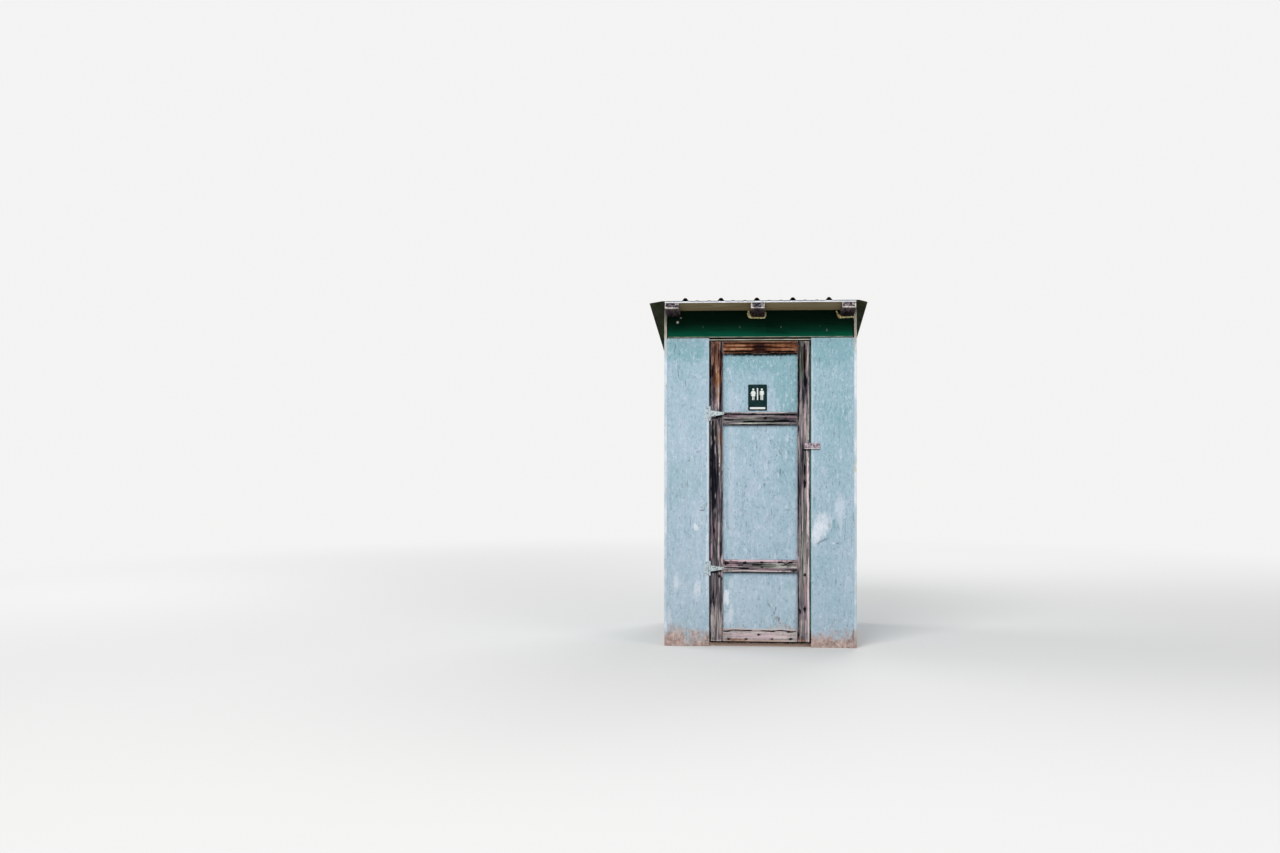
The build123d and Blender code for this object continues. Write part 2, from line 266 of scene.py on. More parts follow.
def close_slab(mesh, origin, outward, thick, radius):
    """Adds the four narrow sides and the back behind a front face."""
    plane = float(np.dot(origin, outward))
    normal = Vector(outward)
    with reshaping(mesh) as shape:
        loose = [vert for vert in shape.verts if not vert.link_faces]
        bmesh.ops.delete(shape, geom=loose, context="VERTS")
        edges = [edge for edge in shape.edges if edge.is_boundary]
        for level in (radius * 1.6, thick * 0.4, thick * 0.7, thick):
            made = bmesh.ops.extrude_edge_only(shape, edges=edges)["geom"]
            for vert in [part for part in made if isinstance(part, bmesh.types.BMVert)]:
                depth = plane - vert.co.dot(normal)
                vert.co -= normal * (max(level, depth + radius / 4) - depth)
            edges = [part for part in made if isinstance(part, bmesh.types.BMEdge) and part.is_boundary]
            for face in [face for edge in edges for face in edge.link_faces]:
                face.material_index = 1
        for face in bmesh.ops.edgeloop_fill(shape, edges=edges)["faces"]:
            face.material_index = 2
        bmesh.ops.recalc_face_normals(shape, faces=shape.faces)


def beam(name, node, low, high, steps, relief, wood, body, slot, radius, turn=None):
    """A board or rafter: a box whose six dense faces are rounded, grooved and cracked.

    relief takes points in the board's own box and gives their depth under the
    face and their wear. turn places the finished shape.
    """
    low, high = np.array(low), np.array(high)
    sides = [low[k] + lines(high[k] - low[k], steps[k], radius) for k in range(3)]
    for k in range(3):
        sides[k][0], sides[k][-1] = low[k], high[k]
    grid = np.stack(np.meshgrid(*sides, indexing="ij"), axis=-1)
    outer = np.zeros(grid.shape[:3], bool)
    for k in range(3):
        outer[tuple(slice(None) if j != k else [0, -1] for j in range(3))] = True
    index = np.full(outer.shape, -1)
    index[outer] = np.arange(outer.sum())
    points = grid[outer]
    quads = []
    for k in range(3):
        for end, turned in ((0, True), (-1, False)):
            face = np.take(index, end, axis=k)
            quads.append(grid_faces(face.T if (k == 1) != turned else face))

    gaps = np.sort(np.concatenate([points - low, high - points], axis=1), axis=1)
    wear = relief(points)
    wear["edge"] = np.clip(1.1 - gaps[:, 1] / (6 * MM), 0, 1)
    core = np.clip(points, low + radius, high - radius)
    away = points - core
    length = np.maximum(np.linalg.norm(away, axis=1), 1e-9)
    points = core + away / length[:, None] * (radius - wear.pop("depth"))[:, None]
    if turn is not None:
        points = points @ np.array(turn.to_3x3()).T + np.array(turn.translation)
    mesh = new_mesh(name, points.tolist(), np.concatenate(quads).tolist(), wear)
    with reshaping(mesh) as shape:
        bmesh.ops.recalc_face_normals(shape, faces=shape.faces)
    soften(mesh, 50)
    add_object(name, mesh, body, wood, replaces=node, slot=slot)


# Shaders

def paint(colour):
    """A colour of three numbers from 0 to 255 as a shader's linear colour. All else stays as it is."""
    if not isinstance(colour, tuple) or len(colour) != 3:
        return colour
    channels = [value / 255 for value in colour]
    return (*(c / 12.92 if c <= 0.04045 else ((c + 0.055) / 1.055) ** 2.4 for c in channels), 1.0)


class Signal:
    """The output of a shader node, for arithmetic. a | b is the larger of the two."""

    def __init__(self, shader, socket):
        self.shader, self.socket = shader, socket

    def __add__(self, other):
        return self.shader.math("ADD", self, other)

    def __sub__(self, other):
        return self.shader.math("SUBTRACT", self, other)

    def __mul__(self, other):
        return self.shader.math("MULTIPLY", self, other)

    def __truediv__(self, other):
        return self.shader.math("DIVIDE", self, other)

    def __or__(self, other):
        return self.shader.math("MAXIMUM", self, other)

    def capped(self, most):
        return self.shader.math("MINIMUM", self, most)

    def fraction(self):
        return self.shader.math("FRACT", self)

    def around(self, size):
        """Noise round 0.5 as a signed amount of that size."""
        return (self - 0.5) * size

    def between(self, low, high, start=0.0, end=1.0):
        """Goes smoothly from start to end as the signal goes from low to high."""
        inputs = dict(enumerate((self, low, high, start, end)))
        return self.shader.add("MapRange", 0, inputs, interpolation_type="SMOOTHSTEP")

    def ramp(self, *stops):
        """A colour for each value, from (position, colour) stops."""
        node = self.shader.node("ValToRGB", {0: self})
        elements = node.color_ramp.elements
        while len(elements) < len(stops):
            elements.new(1.0)
        for element, (position, colour) in zip(elements, stops):
            element.position = position
            element.color = paint(colour)
        return Signal(self.shader, node.outputs["Color"])


class Shader:
    """A tree of shader nodes in a material or world."""

    def __init__(self, owner):
        owner.use_nodes = True
        self.tree = owner.node_tree
        self.tree.nodes.clear()

    def node(self, kind, inputs=None, **settings):
        node = self.tree.nodes.new("ShaderNode" + kind)
        for key, value in settings.items():
            setattr(node, key, value)
        for key, value in (inputs or {}).items():
            if isinstance(value, Signal):
                self.tree.links.new(value.socket, node.inputs[key])
            else:
                node.inputs[key].default_value = value
        return node

    def add(self, kind, output, inputs=None, **settings):
        return Signal(self, self.node(kind, inputs, **settings).outputs[output])

    def math(self, operation, first, second=0.0):
        return self.add("Math", 0, {0: first, 1: second}, operation=operation)

    def mix(self, share, first, second):
        return self.add("Mix", 2, {0: share, 6: paint(first), 7: paint(second)}, data_type="RGBA")


class Coat(Shader):
    """A procedural material, with its colour so far."""

    def __init__(self, name, roughness=0.8, specular=0.3, metallic=0.0, colour=None):
        self.material = bpy.data.materials.new(name)
        super().__init__(self.material)
        self.roughness, self.specular, self.metallic, self.colour = roughness, specular, metallic, colour
        self.place = self.add("TexCoord", "Object")

    def __getitem__(self, name):
        """The wear of that kind that the mesh carries."""
        return self.add("Attribute", "Fac", attribute_name=name)

    def vector(self, operation, first, second):
        return self.add("VectorMath", 0, {0: first, 1: second}, operation=operation)

    def parts(self, place=None):
        return [Signal(self, part) for part in self.node("SeparateXYZ", {0: place or self.place}).outputs]

    def stretched(self, axis, along, shift=(0, 0, 0)):
        """Coordinates squeezed along an axis, so that noise is drawn out that way."""
        moved = self.vector("ADD", self.place, shift)
        return self.vector("MULTIPLY", moved, tuple(along if letter == axis else 1.0 for letter in "xyz"))

    def noise(self, scale, detail=3.0, rough=0.5, twist=0.0, place=None):
        return self.add("TexNoise", "Fac", {"Vector": place or self.place, "Scale": scale, "Detail": detail,
                                            "Roughness": rough, "Distortion": twist})

    def grain(self, axis, along, scale, detail=3.0, rough=0.5, twist=0.0, shift=(0, 0, 0)):
        return self.noise(scale, detail, rough, twist, self.stretched(axis, along, shift))

    def cells(self, scale, place=None, output="Distance"):
        return self.add("TexVoronoi", output, {"Vector": place or self.place, "Scale": scale})

    def rings(self, axis, pith, tilt, spacing, bend, shift):
        """Growth rings round a pith line that runs nearly along the board: 0 to 1 across each ring."""
        x, y, z = self.parts(self.vector("ADD", self.place, shift))
        one, other, along = {"x": (y, z, x), "y": (x, z, y), "z": (x, y, z)}[axis]
        first, second = one - pith[0] - along * tilt[0], other - pith[1] - along * tilt[1]
        radius = self.math("SQRT", first * first + second * second) / spacing
        return (radius + self.grain(axis, 0.16, 9, 3, shift=shift) * bend).fraction()

    def spots(self, places, size):
        """1 at places that are given by a pixel of the photograph and 0 away from them, with ragged rims."""
        flat = self.vector("MULTIPLY", self.place, (1, 0, 1))
        rough = self.noise(160, 3, 0.6) * (size * 1.6)
        result = None
        for x, z in [on_front(*place) for place in places]:
            away = self.add("VectorMath", "Value", {0: flat, 1: (x, 0, z)}, operation="DISTANCE") + rough
            here = away.between(size * 1.3, size * 2.1, 1.0, 0.0)
            result = result | here if result else here
        return result

    def cover(self, share, colour):
        """Lays a colour over the coat so far, by a share."""
        self.colour = self.mix(share, self.colour, colour)

    def done(self, height, depth):
        """The finished material, with height as a bump of that depth."""
        bump = self.add("Bump", "Normal", {"Distance": depth, "Strength": 1.0, "Height": height})
        surface = self.add("BsdfPrincipled", 0, {
            "Base Color": self.colour, "Roughness": self.roughness, "Metallic": self.metallic,
            "Specular IOR Level": self.specular, "Normal": bump})
        self.node("OutputMaterial", {"Surface": surface})
        return self.material


# Materials

BLUE = (172, 195, 211)
TEAL = (138, 177, 188)
LILAC = (190, 200, 222)
CHALK = (226, 232, 242)
GREY_WOOD = (128, 116, 108)
COOL_WOOD = [(17, 18, 25), (53, 51, 60), (112, 104, 108), (166, 156, 156), (216, 206, 202)]
PINK_WOOD = [(16, 8, 13), (70, 48, 60), (130, 104, 116), (188, 160, 170), (228, 202, 212)]
GREEN_WOOD = [(8, 12, 10), (50, 56, 48), (100, 108, 98), (156, 164, 152), (206, 210, 198)]
WARM_WOOD = [(20, 8, 5), (66, 34, 22), (122, 76, 52), (168, 120, 90), (206, 170, 138)]


def blue_paint(name, bottom=0.0):
    """Worn pale blue paint on rough plywood, with soil splashed on its foot, painted eave shade along the
    tops, and painted shadows in grooves and under the rails and hasp.
    """
    coat = Coat(name, 0.84, 0.14, colour=paint(BLUE))
    z = coat.parts()[2]
    mottle = coat.grain("z", 0.6, 5.0, 5, 0.6)
    cloud = coat.grain("z", 0.7, 13, 4, 0.55, shift=(3, 5, 7))
    # Teal mottling plus the marked spots; the spots along the tops of the sheets are painted eave shade.
    teal_and_shade = mottle.between(0.44, 0.7, 0, 0.36) + coat["teal_and_shade"]
    coat.cover(teal_and_shade.capped(1.0), TEAL)
    coat.cover(cloud.between(0.5, 0.72, 0, 0.45) * teal_and_shade.between(0.2, 0.9, 1.0, 0.25), LILAC)

    daub = coat.grain("z", 0.6, 62, 4, 0.62, 0.5, (2, 1, 4))
    streaks = coat.grain("z", 0.07, 110, 3, 0.55, shift=(5, 2, 1))
    fibres = coat.grain("z", 0.06, 330, 4, 0.6, shift=(6, 2, 9))
    shade = daub.around(1.4) + streaks.around(0.5) + fibres.around(0.5)
    coat.cover(shade.between(0.02, 0.4, 0, 0.52), (118, 144, 160))
    coat.cover(shade.between(-0.03, -0.34, 0, 0.46), CHALK)
    small = coat.grain("z", 0.6, 150, 3, 0.6, 0.8, (1, 8, 2))
    large = coat.grain("z", 0.7, 62, 3, 0.6, 0.6, (7, 3, 2))
    fleck = small.between(0.61, 0.69) | large.between(0.64, 0.72, 0, 0.75)
    checks = coat.grain("z", 0.09, 140, 2, 0.4, shift=(9, 4, 5))
    check = checks.between(0.66, 0.72) * coat.noise(6, 2).between(0.48, 0.6)
    coat.cover(fleck * 0.7, (88, 106, 118))
    coat.cover(check * 0.6, (84, 90, 96))

    scuffed = coat.grain("z", 0.4, 110, 4, 0.65, shift=(4, 4, 4))
    coat.cover((coat["pale"] * scuffed.between(0.3, 0.55, 0.55, 1.0)).capped(0.92), CHALK)
    coat.cover(coat["edge"] * scuffed.between(0.46, 0.58, 0, 0.6), (196, 200, 196))
    # Bare wood where the paint has peeled, and painted shade in the grooves.
    coat.cover((coat["bare"] | coat["groove_shade"] * 0.8).capped(0.9), (104, 104, 110))
    # Painted shadow: dark lines under the rails and the hasp.
    coat.cover(coat["grime_and_shadow"].capped(0.95), (34, 44, 40))

    splash = coat.noise(4.5, 3, 0.6) * 0.34 + coat.noise(17, 4, 0.65) * 0.22 + coat.noise(75, 4, 0.7) * 0.08
    dirt = (z - splash).between(bottom - 0.31, bottom - 0.17, 0.88, 0.0)
    drops = coat.noise(120, 2).between(0.6, 0.68) * z.between(bottom + 0.08, bottom + 0.3, 0.8, 0.0)
    soil = coat.grain("z", 0.8, 55, 4, 0.7, shift=(5, 5, 5)).ramp(
        (0.34, (124, 100, 86)), (0.45, (174, 144, 130)), (0.55, (196, 164, 156)), (0.68, (216, 198, 184)))
    coat.cover(dirt | drops, soil)
    coat.roughness = mottle.between(0.3, 0.7, 0.74, 0.9)
    return coat.done(fibres * 0.5 + streaks * 0.9 + daub * 0.5 - (fleck | check) * 0.7, 0.8 * MM)


def bare_plywood(name, axis, light, dark, spacing, knots, age):
    """Unpainted plywood: broad flame grain, fine fibres and a few knots."""
    coat = Coat(name, 0.8, 0.25)
    bands = (coat.grain(axis, 0.12, 3.0, 2, 0.4) * (0.16 / spacing)).fraction().between(0.05, 0.95)
    fibres = coat.grain(axis, 0.04, 300, 3, 0.6, shift=(2, 5, 1))
    stain = coat.grain(axis, 0.4, 6, 4, 0.6, shift=(5, 1, 3))
    tone = bands * 0.5 + fibres * 0.5
    coat.colour = coat.mix(tone, light, dark)
    coat.cover(stain.between(0.5, 0.72, 0, age), GREY_WOOD)
    distance = coat.cells(knots, coat.stretched(axis, 0.55, (4, 2, 6)))
    coat.cover(distance.between(0.05, 0.11, 0.9, 0.0), (70, 44, 26))
    coat.cover(distance.between(0.12, 0.2, 0.3, 0.0), (110, 78, 48))
    return coat.done(tone, 0.25 * MM)


def sheet_edge(name, painted_to):
    """The cut edge of a plywood sheet: glued layers, painted up to a height."""
    coat = Coat(name, 0.88, 0.12)
    x, y, z = coat.parts()
    layer = ((x + y + coat.noise(40, 2) * (1.5 * MM)) / (6.4 * MM)).fraction()
    fibres = coat.grain("z", 0.1, 210, 3)
    stain = coat.grain("z", 0.35, 26, 4, 0.6)
    coat.colour = coat.mix(layer.between(0.42, 0.58), (214, 210, 194), (184, 176, 156))
    coat.cover(fibres.between(0.5, 0.7, 0, 0.5), (134, 126, 110))
    coat.cover(stain.between(0.5, 0.68, 0, 0.6), (112, 108, 96))
    bare = coat.colour
    coat.colour = coat.mix(coat.noise(9, 3).between(0.4, 0.7), (184, 204, 220), CHALK)
    coat.cover(coat.grain("z", 0.2, 55, 4).between(0.56, 0.64) * 0.8, bare)
    coat.cover((z + coat.noise(20, 3) * 0.03).between(painted_to, painted_to + 0.02), bare)
    coat.cover((z - coat.noise(24, 5, 0.7) * 0.22).between(-0.08, 0.02, 0.9, 0.0), (176, 138, 128))
    return coat.done(layer + fibres, 0.4 * MM)


def weathered(name, axis, shift, base, warmth, contrast=1.0, pith=(0.02, -0.09)):
    """A bare board after years outdoors: dark streaks, pale ridges, warm where it is sheltered, and cracks
    painted near black as shade.
    """
    coat = Coat(name, 0.92, 0.05)
    near, far = (*shift[:2], shift[2] + 4), (*shift[:2], shift[2] + 9)
    streaks = coat.grain(axis, 0.045, 62, 5, 0.64, 0.4, shift)
    threads = coat.grain(axis, 0.035, 170, 4, 0.6, 0.3, far)
    broad = coat.grain(axis, 0.09, 17, 3, 0.5, shift=far)
    fibres = coat.grain(axis, 0.03, 420, 3, 0.6, shift=shift)
    ridge = coat.rings(axis, pith, (0.012, 0.02), 4.5 * MM, 5.0, shift).between(0.1, 0.95)
    tone = (coat["tone"] * 0.55 + base + streaks.around(1.7 * contrast) + threads.around(1.2 * contrast)
            + broad.around(0.8 * contrast) + fibres.around(0.7) + ridge.around(0.1))
    warm = coat["warm"] + warmth + coat.grain(axis, 0.25, 12, 4, 0.6, shift=far).around(0.6)
    tint = coat["tint"] + coat.grain(axis, 0.04, 120, 3, shift=near).around(2.0)
    cool, pink, green, brown = [tone.ramp(*zip((0.0, 0.25, 0.5, 0.75, 1.0), wood))
                                for wood in (COOL_WOOD, PINK_WOOD, GREEN_WOOD, WARM_WOOD)]
    coat.colour = cool
    coat.cover(tint.between(0.1, 0.8, 0, 0.9), pink)
    coat.cover(tint.between(-0.1, -0.8, 0, 0.9), green)
    coat.cover(warm.between(0.0, 1.0), brown)
    worn = coat.grain(axis, 0.2, 90, 4, 0.6, shift=shift)
    coat.cover(coat["edge"] * worn.between(0.45, 0.62, 0, 0.45), (178, 164, 156))
    # Painted shade: near black in cracks, holes and hollows.
    coat.cover(coat["groove_shade"] * 0.92, (16, 12, 13))
    return coat.done(fibres * 0.5 + ridge * 0.3 + threads * 0.5 + streaks, 0.9 * MM)


def lumber(name, axis, shades=((118, 88, 60), (166, 134, 96), (192, 162, 122)), soil=0.0):
    """Sheltered sawn lumber of the inner frame, aged to a dull tan, each piece with its own grain."""
    coat = Coat(name, 0.82, 0.22)
    home = coat.place
    seed = coat.add("ObjectInfo", "Random")
    corner = coat.add("CombineXYZ", 0, {0: seed, 1: seed, 2: seed})
    coat.place = coat.vector("ADD", home, coat.vector("MULTIPLY", corner, (3.1, 2.3, 4.7)))
    tone = coat.grain(axis, 0.05, 60, 3, 0.5, 0.6) * 0.7 + coat.grain(axis, 0.04, 300, 3, 0.6) * 0.3
    cloud = coat.noise(5, 3)
    coat.colour = tone.ramp(*zip((0.34, 0.5, 0.66), shades))
    coat.cover(coat.cells(7, coat.stretched(axis, 0.3)).between(0.05, 0.12, 0.9, 0.0), (82, 50, 30))
    coat.cover(cloud.between(0.5, 0.75, 0, 0.5), GREY_WOOD)
    # Dark soil that is also painted shade under the door, and pale soil along the foot.
    if soil:
        coat.cover(cloud.between(0.2, 0.6, soil, soil * 0.8), (34, 28, 24))
        level = coat.parts(home)[2] - coat.noise(60, 4, 0.7, place=home) * 0.02
        coat.cover(level.between(12 * MM, 8 * MM, 0, 0.95), (206, 176, 160))
    return coat.done(tone, 0.5 * MM)


def header_shade_and_highlight(name, bottom):
    """The header over the door: painted shade makes it nearly black, with a painted highlight along its lower
    edge.
    """
    coat = Coat(name, 0.9, 0.05)
    grain = coat.grain("x", 0.05, 160, 4, 0.6)
    level = coat.parts()[2] - coat.grain("x", 0.3, 30, 3) * (3 * MM)
    # Painted shade above, nearly black; painted highlight, pale, along the lower edge.
    dark = grain.ramp((0.3, (5, 5, 5)), (0.7, (20, 16, 13)))
    coat.colour = grain.ramp((0.3, (142, 136, 120)), (0.6, (226, 224, 208)))
    coat.cover(level.between(bottom + 3.5 * MM, bottom + 5 * MM), dark)
    return coat.done(grain, 0.4 * MM)


def green_paint(name, bottom):
    """Dark green paint on a smooth board: painted darker towards the top as shade under the eave, scratched,
    with a bare lower edge.
    """
    coat = Coat(name, specular=0.02)
    z = coat.parts()[2]
    brush = coat.grain("x", 0.05, 160, 3, 0.6)
    cloud = coat.grain("x", 0.4, 5, 4, 0.6)
    # Painted shade: the green darkens upwards, towards the eave.
    light = (z + cloud.around(60 * MM)).between(bottom + 0.12, bottom)
    coat.colour = light.ramp((0.0, (4, 28, 17)), (0.3, (4, 36, 24)), (0.7, (5, 54, 38)), (1.0, (6, 80, 58)))
    coat.cover(brush.between(0.54, 0.72, 0, 0.5), (1, 14, 8))
    coat.cover(coat.grain("z", 0.25, 95, 2, shift=(3, 1, 2)).between(0.7, 0.75, 0, 0.3), (60, 92, 78))
    worn = coat.grain("x", 0.3, 70, 4, 0.6).between(0.35, 0.6, 0.35, 0.9)
    coat.cover(worn * z.between(bottom + 6 * MM, bottom + 3 * MM), (176, 176, 160))
    coat.cover(coat["pale"].capped(0.95), (220, 220, 206))
    coat.roughness = cloud.between(0.3, 0.7, 0.5, 0.7)
    return coat.done(brush, 0.15 * MM)


def green_rim(name, bottom):
    """The green board's narrow sides, bare along the foot."""
    coat = Coat(name, 0.8, 0.1, colour=paint((8, 38, 28)))
    tone = coat.grain("x", 0.1, 60, 3)
    bare = tone.ramp((0.4, (134, 134, 118)), (0.6, (196, 192, 172)))
    coat.cover(coat.parts()[2].between(bottom + 4 * MM, bottom + 2 * MM), bare)
    return coat.done(tone, 0.2 * MM)


def stop_paint_and_shade(name, right, top):
    """The strip behind the door's edges: near black as painted shade in the gaps, with bright green at the
    latch side only where light reaches into the gap.
    """
    coat = Coat(name, 0.7, 0.05)
    x, _, z = coat.parts()
    cloud = coat.grain("z", 0.2, 60, 4, 0.6)
    # Painted shade: the strip is near black except for one narrow band.
    coat.colour = cloud.ramp((0.35, (6, 9, 11)), (0.65, (18, 26, 27)))
    green = cloud.ramp((0.3, (90, 224, 194)), (0.6, (130, 250, 224)))
    # The green shows in a narrow band at the latch side and fades towards the top, where the gap lies in
    # shade.
    share = x.between(right - 7.2 * MM, right - 5.6 * MM) * z.between(top - 30 * MM, top - 60 * MM)
    coat.cover(share * z.between(top - 0.35, top - 0.75, 0.45, 1.0), green)
    return coat.done(cloud, 0.3 * MM)


def foam_skin(name):
    """Expanding foam, yellowed by the sun, with a smooth skin and broken bubbles."""
    coat = Coat(name, 0.75, 0.2)
    bubbles = coat.cells(420)
    coat.colour = coat.noise(60, 4, 0.6).ramp(
        (0.32, (232, 208, 136)), (0.5, (252, 240, 180)), (0.7, (255, 252, 224)))
    coat.cover(coat.noise(21, 3, 0.5).between(0.54, 0.66, 0, 0.75), (178, 122, 60))
    coat.cover(coat.spots([(838.6, 317.6), (837.4, 314.4)], 9 * MM) * 0.7, (166, 104, 48))
    coat.cover(bubbles.between(0.1, 0.35, 0.35, 0.0), (120, 84, 44))
    return coat.done(bubbles, 0.6 * MM)


def galvanised(name):
    """Old galvanised steel: dull spangle, white bloom, rain streaks, rust, and an underside painted dark
    olive as shade and a greenish reflection.
    """
    coat = Coat(name, specular=0.12)
    cloud = coat.noise(5, 5, 0.6)
    streaks = coat.grain("y", 0.06, 28, 4, 0.6)
    spangle = coat.parts(coat.cells(95, output="Color"))[0]
    coat.colour = coat.mix(spangle, (128, 132, 130), (158, 160, 156))
    coat.cover(cloud.between(0.45, 0.7, 0, 0.6), (176, 178, 172))
    coat.cover(streaks.between(0.55, 0.75, 0, 0.7), (104, 102, 92))
    coat.cover((coat.noise(34, 5, 0.7) * coat.noise(3, 2)).between(0.34, 0.42, 0, 0.85), (126, 78, 48))
    # Painted shade and painted reflection: faces that look down are coloured dark olive, duller and rougher.
    facing = coat.parts(coat.add("NewGeometry", "Normal"))[2]
    coat.cover(facing.between(-0.5, 0.3, 1.0, 0.0), streaks.ramp((0.35, (36, 40, 22)), (0.65, (66, 70, 44))))
    coat.metallic = facing.between(-0.5, 0.3, 0.0, 0.45)
    coat.roughness = cloud.between(0.3, 0.7, 0.5, 0.7) + facing.between(-0.5, 0.3, 0.3, 0.0)
    return coat.done(cloud, 1.2 * MM)


def coated_metal(name, colour, under, roughness, metallic, wear, rust, grime_and_shadow=GREY_WOOD, dark_spots=()):
    """Steel under a thin coat that is scratched, chipped and rusting through."""
    coat = Coat(name, roughness, 0.2, metallic, paint(colour))
    chips = coat.noise(120, 5, 0.65)
    cloud = coat.noise(45, 4, 0.6)
    scale = coat.noise(320, 4, 0.7)
    coat.cover(cloud.between(0.35, 0.65, 0.0, 0.35), grime_and_shadow)
    coat.cover(chips.between(0.56, 0.62, 0, wear), under)
    coat.cover(cloud.between(0.55, 0.68, 0, rust), coat.mix(scale, (92, 50, 30), (160, 100, 62)))
    if dark_spots:
        coat.cover(coat.spots(dark_spots, 3.2 * MM), (30, 32, 34))
    return coat.done(chips * 0.7 + scale * 0.3, 0.25 * MM)


def rusted(name, light, mid, dark, foot=None):
    """Bare steel rusted and weathered to a dull mauve brown, with a painted highlight along its foot."""
    coat = Coat(name, 0.85, 0.15, 0.1)
    scale = coat.noise(180, 6, 0.7)
    tone = scale * 0.5 + coat.noise(60, 3) * 0.5
    coat.colour = tone.ramp((0.4, dark), (0.5, mid), (0.6, light))
    # Painted highlight: a pale band along the lower edge.
    if foot is not None:
        coat.cover(coat.parts()[2].between(foot + 6 * MM, foot + 3 * MM, 0, 0.85), (232, 216, 216))
    return coat.done(scale, 0.35 * MM)


def plastic(name, colour, roughness):
    """A smooth plate, dusty and a little scuffed."""
    coat = Coat(name, specular=0.1, colour=paint(colour))
    dust = coat.noise(40, 4, 0.6)
    scuffs = coat.grain("z", 0.2, 150, 3)
    coat.cover(dust.between(0.45, 0.75, 0, 0.04), (148, 172, 168))
    coat.cover(scuffs.between(0.68, 0.74, 0, 0.12), (130, 156, 152))
    coat.roughness = dust.between(0.3, 0.7, roughness, roughness + 0.15)
    return coat.done(scuffs, 0.05 * MM)
